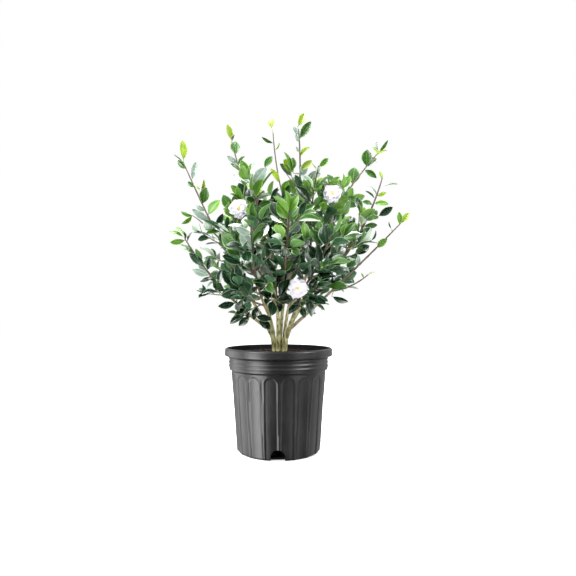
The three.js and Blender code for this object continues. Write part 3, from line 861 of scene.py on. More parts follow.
@dataclass
class Pot:
    """The fluted nursery pot: rolled lip, ribbed band, arched flutes and four drain notches."""

    height: float = 213.0
    lip_radius: float = 112.5
    lip_height: float = 16.5
    lip_round: float = 4.0
    band_radius: float = 103.6
    band_foot: float = 170.5
    rib_heights: tuple[float, ...] = (192.0, 184.2, 176.4)
    rib_relief: float = 1.1
    rib_width: float = 2.1
    rib_base: float = 0.45
    band_step: float = 0.9
    band_end: tuple[tuple[float, float], ...] = ((0.5, -0.8), (2.2, 0.0))
    shoulder_radius: float = 98.5
    shoulder: float = 165.5
    shoulder_shares: tuple[float, ...] = (0.0, 0.12, 0.35, 0.65, 0.88)
    shoulder_fill: float = 0.92
    shoulder_gap: float = 1.5
    foot_radius: float = 86.4
    foot_round: float = 3.5
    hub: float = 40.0
    lip_foot: tuple[tuple[float, float], ...] = ((-1.6, 0.2), (-0.4, 0.9), (0.0, 2.2), (0.0, 5.0))
    lip_inside: tuple[tuple[float, float], ...] = ((6.0, 0.1), (7.6, 0.9), (8.3, 2.6), (8.6, 7.0))
    lip_lean: float = 0.2
    lip_face: float = 1.5
    lip_depth: float = 14.0
    round_steps: int = 4
    inner_lean: float = 2.6
    wall: float = 2.4
    floor: float = 4.0
    flutes: int = 18
    flute_bearing: float = 281.0
    flute_width: float = 25.6
    flute_depth: float = 0.8
    flute_edge: float = 1.6
    flute_top: float = 161.0
    bead: float = 0.55
    bead_offset: float = 1.1
    bead_fade: float = 0.3
    notches: int = 4
    notch_bearing: float = 269.0
    notch_width: float = 28.0
    notch_height: float = 22.0
    turn_steps: int = 360
    wall_step: float = 1.7
    finish: PotPlastic = field(default_factory=PotPlastic)
    # The inner wall and the lip's inside get a near-black, duller copy of the plastic: a painted shade
    # inside the pot.
    inside: PotPlastic = field(default_factory=lambda: PotPlastic(
        "pot_inside_painted_shade", "070707", "0b0a0a", "120f0d", rough=0.7, index=1.25))

    def wall_radius(self, height: float) -> float:
        """The outside of the bare wall at a height."""
        return mix(self.foot_radius, self.shoulder_radius, height / self.shoulder)

    def band_profile(self) -> list[tuple[float, float]]:
        """The ribbed band from its foot to the lip's underside.

        Returns:
            Pairs of radius and height.
        """
        points = []
        height = self.band_foot
        while height < self.height - self.lip_height - 1.0:
            ribs = sum(math.exp(-(((height - rib) / self.rib_width) ** 2)) for rib in self.rib_heights)
            points.append((self.band_radius + self.rib_relief * (ribs - self.rib_base), height))
            height += self.band_step
        return points

    def profile(self) -> list[tuple[float, float]]:
        """The closed outline of the pot's section.

        Returns:
            Pairs of radius and height, outside from the foot up, then inside down.
        """
        points = [(0.0, 0.0), (self.hub, 0.0), (self.foot_radius - self.foot_round, 0.0)]
        for step in range(1, self.round_steps + 1):
            angle = math.radians(90 * step / self.round_steps)
            rise = self.foot_round * (1 - math.cos(angle))
            reach = self.foot_round * (1 - math.sin(angle))
            points.append((self.wall_radius(rise) - reach, rise))
        height = self.foot_round + self.wall_step
        while height < self.shoulder - self.shoulder_gap:
            points.append((self.wall_radius(height), height))
            height += self.wall_step
        step_in = self.band_radius - self.shoulder_radius
        for share in self.shoulder_shares:
            climb = mix(self.shoulder, self.band_foot - 0.6, share)
            reach = step_in * smooth_step(0.0, 1.0, share) * self.shoulder_fill
            points.append((self.shoulder_radius + reach, climb))
        points += self.band_profile()
        under = self.height - self.lip_height
        lip = self.lip_radius
        points += [(self.band_radius + out, under + up) for out, up in self.band_end]
        points += [(lip + out, under + up) for out, up in self.lip_foot]
        points.append((lip - self.lip_lean, self.height - self.lip_round - self.lip_face))
        for step in range(self.round_steps + 1):
            angle = math.radians(90 * step / self.round_steps)
            reach = self.lip_round * (1 - math.cos(angle))
            rise = self.lip_round * math.sin(angle)
            points.append((lip - self.lip_lean - reach, self.height - self.lip_round + rise))
        points += [(lip - inward, self.height - down) for inward, down in self.lip_inside]
        points.append((self.band_radius - self.wall, self.height - self.lip_depth))
        points.append((self.band_radius - self.wall, self.band_foot))
        points.append((self.shoulder_radius - self.wall - self.inner_lean, self.shoulder))
        points.append((self.foot_radius - self.wall - self.inner_lean, self.floor))
        return points + [(self.hub, self.floor), (0.0, self.floor)]

    def flute_relief(self, bearing: float, radius: float, height: float) -> float:
        """How far a point of the wall moves out (or in) for the flutes.

        Args:
            bearing: its bearing about the axis, in degrees.
            radius: its distance from the axis, in millimetres.
            height: its height above the ground.

        Returns:
            The move in millimetres.
        """
        pitch = 360.0 / self.flutes
        offset = (bearing - self.flute_bearing + pitch / 2) % pitch - pitch / 2
        across = radius * math.radians(offset)
        half = self.flute_width / 2
        rise = max(height - (self.flute_top - half), 0.0)
        inside = half - math.hypot(across, rise)
        recess = self.flute_depth * smooth_step(-self.bead_fade, self.flute_edge, inside)
        edge = self.bead * math.exp(-((inside + self.bead_offset) ** 2))
        return edge - recess

    @staticmethod
    def arch(width: float, top: float, inner: float, outer: float,
             bearing: float) -> bpy.types.Object:
        """A cutter with an arched section that runs out from the axis.

        Args:
            width: its width.
            top: the height of its crown.
            inner: where it starts from the axis.
            outer: where it ends.
            bearing: its bearing in degrees.

        Returns:
            A temporary object.
        """
        bm = bmesh.new()
        half, below, steps = width / 2, -2.0, 16
        outline = [bm.verts.new((side * half * MM, 0.0, below * MM)) for side in (-1, 1)]
        for step in range(steps + 1):
            angle = math.pi * step / steps
            place = (half * math.cos(angle) * MM, 0.0, (top - half + half * math.sin(angle)) * MM)
            outline.append(bm.verts.new(place))
        face = bm.faces.new(outline)
        grown = bmesh.ops.extrude_face_region(bm, geom=[face])["geom"]
        bmesh.ops.translate(bm, verts=[v for v in grown if isinstance(v, bmesh.types.BMVert)],
                            vec=(0.0, (outer - inner) * MM, 0.0))
        bmesh.ops.translate(bm, verts=bm.verts, vec=(0.0, inner * MM, 0.0))
        bmesh.ops.rotate(bm, verts=bm.verts, cent=(0, 0, 0),
                         matrix=Matrix.Rotation(math.radians(bearing - 90), 3, "Z"))
        bmesh.ops.recalc_face_normals(bm, faces=bm.faces)
        return Piece.from_bmesh("cutter", bm, [])

    def notched(self, obj: bpy.types.Object, spare: float, inner: float) -> bpy.types.Object:
        """Cuts the four drain notches into an object.

        Args:
            obj: the object to cut.
            spare: how much larger than the notch the cut is.
            inner: where the cut starts from the axis.

        Returns:
            The same object with its cut mesh.
        """
        cutters = [
            self.arch(self.notch_width + spare, self.notch_height + spare / 2, inner, self.lip_radius + 10,
                      self.notch_bearing + 360 / self.notches * number)
            for number in range(self.notches)
        ]
        for cutter in cutters:
            cut = obj.modifiers.new("notch", "BOOLEAN")
            cut.operation = "DIFFERENCE"
            cut.solver = "EXACT"
            cut.object = cutter
        graph = bpy.context.evaluated_depsgraph_get()
        mesh = bpy.data.meshes.new_from_object(obj.evaluated_get(graph))
        obj.modifiers.clear()
        obj.data = mesh
        for cutter in cutters:
            bpy.data.objects.remove(cutter)
        return obj

    @staticmethod
    def spun(profile: Sequence[tuple[float, float]], steps: int) -> bmesh.types.BMesh:
        """A closed body of revolution about the upright axis.

        Args:
            profile: pairs of radius and height, from the axis round to the axis again.
            steps: the number of steps in the full turn.

        Returns:
            The mesh, with its normals outwards.
        """
        bm = bmesh.new()
        verts = [bm.verts.new((radius * MM, 0.0, height * MM)) for radius, height in profile]
        edges = [bm.edges.new(pair) for pair in zip(verts, verts[1:])]
        bmesh.ops.spin(bm, geom=verts + edges, cent=(0, 0, 0), axis=(0, 0, 1), angle=math.tau, steps=steps,
                       use_merge=True, use_duplicate=False)
        bmesh.ops.remove_doubles(bm, verts=bm.verts, dist=1e-6)
        bmesh.ops.recalc_face_normals(bm, faces=bm.faces)
        return bm

    def build(self, effects: Effects) -> bpy.types.Object:
        """Spins the section, presses the flutes in, cuts the notches and dresses the pot.

        Args:
            effects: the shared node groups.

        Returns:
            The finished pot.
        """
        bm = self.spun(self.profile(), self.turn_steps)
        outer = self.foot_radius - self.foot_round - 0.5
        for vert in bm.verts:
            radius, height = math.hypot(vert.co.x, vert.co.y) / MM, vert.co.z / MM
            face = self.wall_radius(height)
            if radius < outer or height > self.shoulder or radius < face - self.foot_round - 0.1:
                continue
            if height > self.floor and radius < face - 1.0:
                continue
            bearing = math.degrees(math.atan2(vert.co.y, vert.co.x))
            moved = (radius + self.flute_relief(bearing, radius, height)) / radius
            vert.co.x *= moved
            vert.co.y *= moved
        obj = Piece.from_bmesh("nursery_pot", bm, [])
        obj = self.notched(obj, 0.0, self.foot_radius - 14.0)
        obj.data.materials.clear()
        obj.data.materials.append(self.finish.make(effects))
        obj.data.materials.append(self.inside.make(effects))
        # Inward faces above the band's foot take that darker finish, the painted shade inside the pot.
        for face in obj.data.polygons:
            place = face.center / MM
            inward = face.normal.x * place.x + face.normal.y * place.y < 0.0
            face.material_index = int(place.z > self.band_foot and inward)
        obj.data.set_sharp_from_angle(angle=math.radians(38))
        return Piece.settle(obj, "pot_plastic", ["pot"])


@dataclass
class BarkMix:
    """The pot's filling of composted bark: a mound of crumbs with chips lying on it."""

    pot: Pot
    edge_height: float = 200.5
    crown_height: float = 204.0
    stand_radius: float = 36.0
    lump: float = 1.5
    lump_scale: float = 0.09
    crumb_scale: float = 0.24
    turn_steps: int = 120
    rings: int = 42
    seat: float = 0.3
    foot_inset: float = 6.3
    side_drop: float = 6.0
    rim_gap: float = 2.6
    ring_step: float = 2.4
    chips: int = 1500
    chip_kinds: int = 5
    chip_length: tuple[float, float] = (3.0, 9.5)
    chip_lift: float = 0.35
    chip_inset: float = 6.5
    chip_pitch: float = 0.45
    chip_roll: float = 0.6
    chip_wear: float = 0.12
    damp_and_pit_shade: BarkMixFinish = field(default_factory=BarkMixFinish)
    chip: BarkMixFinish = field(
        default_factory=lambda: BarkMixFinish("bark_chip", "150b09", "341c17", 140.0))

    def surface(self, x: float, y: float) -> float:
        """The height of the mix at a place, in millimetres.

        Args:
            x: the place's distance to the right of the axis.
            y: its distance behind the axis.

        Returns:
            The height above the ground.
        """
        radius = math.hypot(x, y)
        rise = smooth_step(self.pot.band_radius - 4, self.stand_radius, radius)
        lumps = noise.noise(Vector((x, y, 0.0)) * self.lump_scale)
        lumps += 0.5 * noise.noise(Vector((x, y, 7.0)) * self.crumb_scale)
        return mix(self.edge_height, self.crown_height, rise) + self.lump * lumps

    def pitch_of(self, number: int) -> float:
        """How far a chip is tipped up, in radians."""
        return Dice.between(-self.chip_pitch, self.chip_pitch, number, Draw.CHIP_PITCH)

    def roll_of(self, number: int) -> float:
        """How far a chip is turned about its length, in radians."""
        return Dice.between(-self.chip_roll, self.chip_roll, number, Draw.CHIP_ROLL)

    def chip_shapes(self) -> list[Shape]:
        """A few kinds of chip.

        Returns:
            Worn splinters of unit length.
        """
        kinds = []
        for kind in range(self.chip_kinds):
            bm = bmesh.new()
            bmesh.ops.create_cube(bm, size=1.0)
            width = Dice.between(0.28, 0.6, kind, Draw.CHIP_WIDTH)
            depth = Dice.between(0.14, 0.3, kind, Draw.CHIP_DEPTH)
            bmesh.ops.scale(bm, vec=(1.0, width, depth), verts=bm.verts)
            for number, vert in enumerate(bm.verts):
                shift = [Dice.between(-self.chip_wear, self.chip_wear, kind, number, axis)
                         for axis in (Draw.CHIP_X, Draw.CHIP_Y, Draw.CHIP_Z)]
                vert.co += Vector((shift[0], shift[1] * width * 2, shift[2] * depth * 2))
            bmesh.ops.bevel(bm, geom=list(bm.edges), offset=0.05, offset_type="OFFSET", affect="EDGES",
                            segments=1, profile=0.5, material=-1)
            kinds.append(Shape.of(bm))
        return kinds

    def build(self, effects: Effects) -> list[bpy.types.Object]:
        """Makes the mound and deals the chips out on it.

        Args:
            effects: the shared node groups.

        Returns:
            The mound and the chips.
        """
        pot = self.pot
        foot, level = pot.floor + self.seat, 200.0
        side = [(0.0, foot), (pot.foot_radius - self.foot_inset, foot)]
        side.append((pot.band_radius - self.foot_inset, self.edge_height - self.side_drop))
        rim = pot.band_radius - self.rim_gap
        top = [(rim - step * self.ring_step, level) for step in range(self.rings)]
        bm = Pot.spun([*side, *top, (0.0, level)], self.turn_steps)
        for vert in bm.verts:
            if vert.co.z > (self.edge_height - 5.0) * MM:
                vert.co.z = self.surface(vert.co.x / MM, vert.co.y / MM) * MM
        obj = Piece.from_bmesh("bark_mix", bm, [])
        obj = pot.notched(obj, 2.0, pot.foot_radius - 24.0)
        obj.data.materials.clear()
        obj.data.materials.append(self.damp_and_pit_shade.make(effects))
        mound = Piece.settle(obj, "bark_mix", ["soil"])
        kinds = self.chip_shapes()
        shapes = []
        for number in range(self.chips):
            radius = (pot.band_radius - self.chip_inset) * math.sqrt(Dice.chance(number, Draw.CHIP_RADIUS))
            angle = math.tau * Dice.chance(number, Draw.CHIP_BEARING)
            x, y = radius * math.cos(angle), radius * math.sin(angle)
            length = mix(*self.chip_length, Dice.chance(number, Draw.CHIP_LENGTH) ** 2)
            turn = Matrix.Rotation(math.tau * Dice.chance(number, Draw.CHIP_TURN), 4, "Z")
            turn = turn @ Matrix.Rotation(self.pitch_of(number), 4, "Y")
            turn = turn @ Matrix.Rotation(self.roll_of(number), 4, "X")
            place = Matrix.Translation(Vector((x, y, self.surface(x, y) + self.chip_lift)) * MM)
            shapes.append(kinds[number % len(kinds)].placed(place @ turn @ Matrix.Scale(length * MM, 4)))
        chips = Piece.from_shapes("bark_chips", shapes, [self.chip.make(effects)], 25.0)
        return [mound, Piece.settle(chips, "bark_mix", ["soil"])]


# ---------------------------------------------------------------- limbs


class Bow:
    """A limb's curve from start to tip by way of one control point, measured along its length."""

    DIVISIONS = 200

    def __init__(self, start: Vector, control: Vector, tip: Vector) -> None:
        """Measures the curve.

        Args:
            start: where it starts.
            control: the point that draws it aside.
            tip: where it ends.
        """
        self.start, self.control, self.tip = start, control, tip
        shares = [number / self.DIVISIONS for number in range(self.DIVISIONS + 1)]
        points = [self.at(share) for share in shares]
        steps = [(b - a).length for a, b in zip(points, points[1:])]
        self.lengths = np.concatenate([[0.0], np.cumsum(steps)])
        self.shares = np.array(shares)
        self.length = float(self.lengths[-1])

    @classmethod
    def bowed(cls, start: Vector, tip: Vector, bow: Triple) -> "Bow":
        """The curve whose middle stands off the straight line by bow."""
        return cls(start, start.lerp(tip, 0.5) + Vector(bow) * 2.0, tip)

    def at(self, t: float) -> Vector:
        """The point at a value of the curve's own parameter."""
        return self.start * (1 - t) ** 2 + self.control * (2 * t * (1 - t)) + self.tip * t * t

    def parameter(self, share: float) -> float:
        """The curve's own parameter at a share of its length."""
        return float(np.interp(share * self.length, self.lengths, self.shares))

    def point(self, share: float) -> Vector:
        """The point at a share of the length."""
        return self.at(self.parameter(share))

    def tangent(self, share: float) -> Vector:
        """The direction at a share of the length.

        Args:
            share: the share, from 0 to 1.

        Returns:
            A unit vector.
        """
        t = self.parameter(share)
        slope = (self.control - self.start) * (1 - t) + (self.tip - self.control) * t
        return slope.normalized()

    def stretch(self, low: float, high: float) -> "Bow":
        """The part of the curve between two values of its own parameter.

        Args:
            low: the value where the part starts.
            high: the value where it ends.

        Returns:
            The part as a curve of its own.
        """
        control = self.start * ((1 - low) * (1 - high))
        control = control + self.control * (low * (1 - high) + high * (1 - low))
        control = control + self.tip * (low * high)
        return Bow(self.at(low), control, self.at(high))


@dataclass
class Cane:
    """A cane that rises from the bark mix, in millimetres."""

    name: str
    foot: tuple[float, float]
    tip: Triple
    bow: Triple
    radius: tuple[float, float]


@dataclass
class Shoot:
    """A shoot of the crown: what it leaves and where, and how much of it is bare or has twigs."""

    name: str
    source: str
    at: float
    tip: Triple
    bow: Triple
    radius: tuple[float, float]
    bough: float
    twigs: float
    reach: float


CANES = (
    Cane("trunk", (11.5, -1), (47, 4, 310), (-7, 0, -5), (5.7, 4.6)),
    Cane("cane_west", (-9, 6), (-35, -4, 278), (6, 1, 0), (4.2, 3.6)),
    Cane("cane_left", (-7, -8), (-24, -18, 294), (4, 1, 0), (4, 3.5)),
    Cane("cane_front", (-1.5, -17), (-2, -42, 300), (1, 5, 0), (3.9, 3.4)),
    Cane("cane_centre", (-0.5, 0), (-8, -2, 328), (4, 0, 0), (4.1, 3.3)),
    Cane("cane_rear", (2.5, 11.5), (14, 27, 330), (-2, -4, 0), (4.3, 3.4)),
    Cane("cane_right", (8, -13.5), (21, -26, 300), (-1, 3, 0), (3.5, 3.1)),
)

SHOOTS = (
    Shoot("low_left", "cane_west", 0.62, (-189, -40, 435), (-5, -7, -14), (3.4, 1.3), 0.34, 0.5, 44),
    Shoot("upper_left", "cane_west", 1, (-214, 60, 625), (-2, 10, -10), (3.5, 1.3), 0.3, 0.42, 46),
    Shoot("tall_left", "cane_left", 1, (-107, 75, 674), (8, -3, 0), (3.3, 1.3), 0.36, 0.5, 46),
    Shoot("inner_left", "cane_centre", 1, (-56, -92, 543), (5, -12, 2), (3.1, 1.3), 0.22, 0.8, 66),
    Shoot("middle_top", "cane_rear", 1, (42, -10, 668), (14, 0, 0), (3.2, 1.3), 0.42, 0.4, 44),
    Shoot("centre_top", "middle_top", 0.9, (-12, 44, 682), (-8, 4, -10), (1.8, 1.2), 0, 0.15, 26),
    Shoot("high_right", "trunk", 0.86, (230, 76, 654), (-28, 6, 4), (3.4, 1.3), 0.36, 0.4, 46),
    Shoot("upper_right", "high_right", 0.8, (77, -82, 568), (-8, -12, 0), (2.3, 1.2), 0, 0.75, 56),
    Shoot("right", "trunk", 1, (207, -50, 554), (20, -2, -14), (3.8, 1.3), 0.34, 0.55, 52),
    Shoot("far_right", "trunk", 0.42, (250, -30, 469), (2, -6, -2), (3.5, 1.2), 0.44, 0.1, 24),
    Shoot("low_right", "far_right", 0.86, (180, -44, 362), (2, -4, -6), (2, 1.2), 0, 0.4, 30),
    Shoot("left_front", "tall_left", 0.5, (-97, -74, 498), (-4, -8, -6), (2.2, 1.2), 0, 0.8, 60),
    Shoot("right_front", "high_right", 0.97, (122, -62, 530), (2, -14, -4), (2.1, 1.2), 0, 0.8, 56),
    Shoot("front_left", "cane_left", 0.86, (-48, -168, 452), (-8, -16, -14), (3, 1.2), 0.28, 0.85, 62),
    Shoot("front_centre", "cane_front", 1, (18, -182, 458), (4, -12, -6), (3.2, 1.2), 0.26, 0.85, 62),
    Shoot("front_right", "cane_right", 1, (94, -160, 424), (4, -14, -8), (3, 1.2), 0.28, 0.85, 54),
    Shoot("front_low", "cane_front", 0.96, (-6, -112, 366), (0, -8, -4), (2.1, 1.2), 0, 0.7, 44),
    Shoot("front_low_right", "front_right", 0.6, (78, -118, 346), (4, -6, -6), (2.1, 1.2), 0, 0.8, 42),
    Shoot("front_low_left", "front_left", 0.55, (-74, -108, 334), (-4, -8, -6), (2.2, 1.2), 0, 0.8, 42),
    Shoot("low_skirt_left", "low_left", 0.55, (-84, -50, 282), (-4, -6, 2), (1.9, 1.2), 0, 0.4, 26),
    Shoot("back_left", "cane_rear", 0.7, (-115, 158, 508), (-6, 12, -16), (3.2, 1.2), 0.3, 0.8, 54),
    Shoot("back_centre", "cane_rear", 0.86, (-44, 178, 572), (-2, 14, -10), (3.2, 1.2), 0.3, 0.8, 66),
    Shoot("back_right", "trunk", 0.58, (158, 156, 528), (4, 16, -18), (3.4, 1.2), 0.34, 0.8, 66),
    Shoot("back_tall", "cane_rear", 0.97, (72, 172, 588), (4, 14, -8), (3.1, 1.2), 0.3, 0.8, 66),
    Shoot("back_low_left", "back_left", 0.6, (-142, 120, 390), (-6, 6, -8), (2.4, 1.2), 0, 0.8, 38),
    Shoot("back_low_right", "back_right", 0.55, (164, 118, 396), (4, 8, -10), (2.4, 1.2), 0, 0.8, 38),
    Shoot("back_low", "back_centre", 0.5, (14, 178, 396), (2, 8, -8), (2.4, 1.2), 0, 0.8, 62),
)


@dataclass(frozen=True)
class Laid:
    """A leaf listed for a stem, as seen from the front, in degrees and millimetres.

    clock is its direction, clockwise from upright, roll turns its face away from the front, and
    stalk is the length of a bare twig that it stands on, which has a clock of its own.
    """

    share: float
    clock: float
    length: float
    roll: float
    hue: Hue
    breadth: float = 0.5
    stalk: float = 0.0
    stalk_clock: float = 0.0


# The share of each outer shoot's stem past which its leaves are the listed ones.
LAID_FROM = {
    "upper_left": 0.28, "low_left": 0.3, "tall_left": 0.42, "centre_top": 0.3, "middle_top": 0.5,
    "high_right": 0.5, "right": 0.5, "far_right": 0.0, "low_right": 0.0, "upper_right": 0.74,
    "low_skirt_left": 0.0, "left_front": 0.84,
}

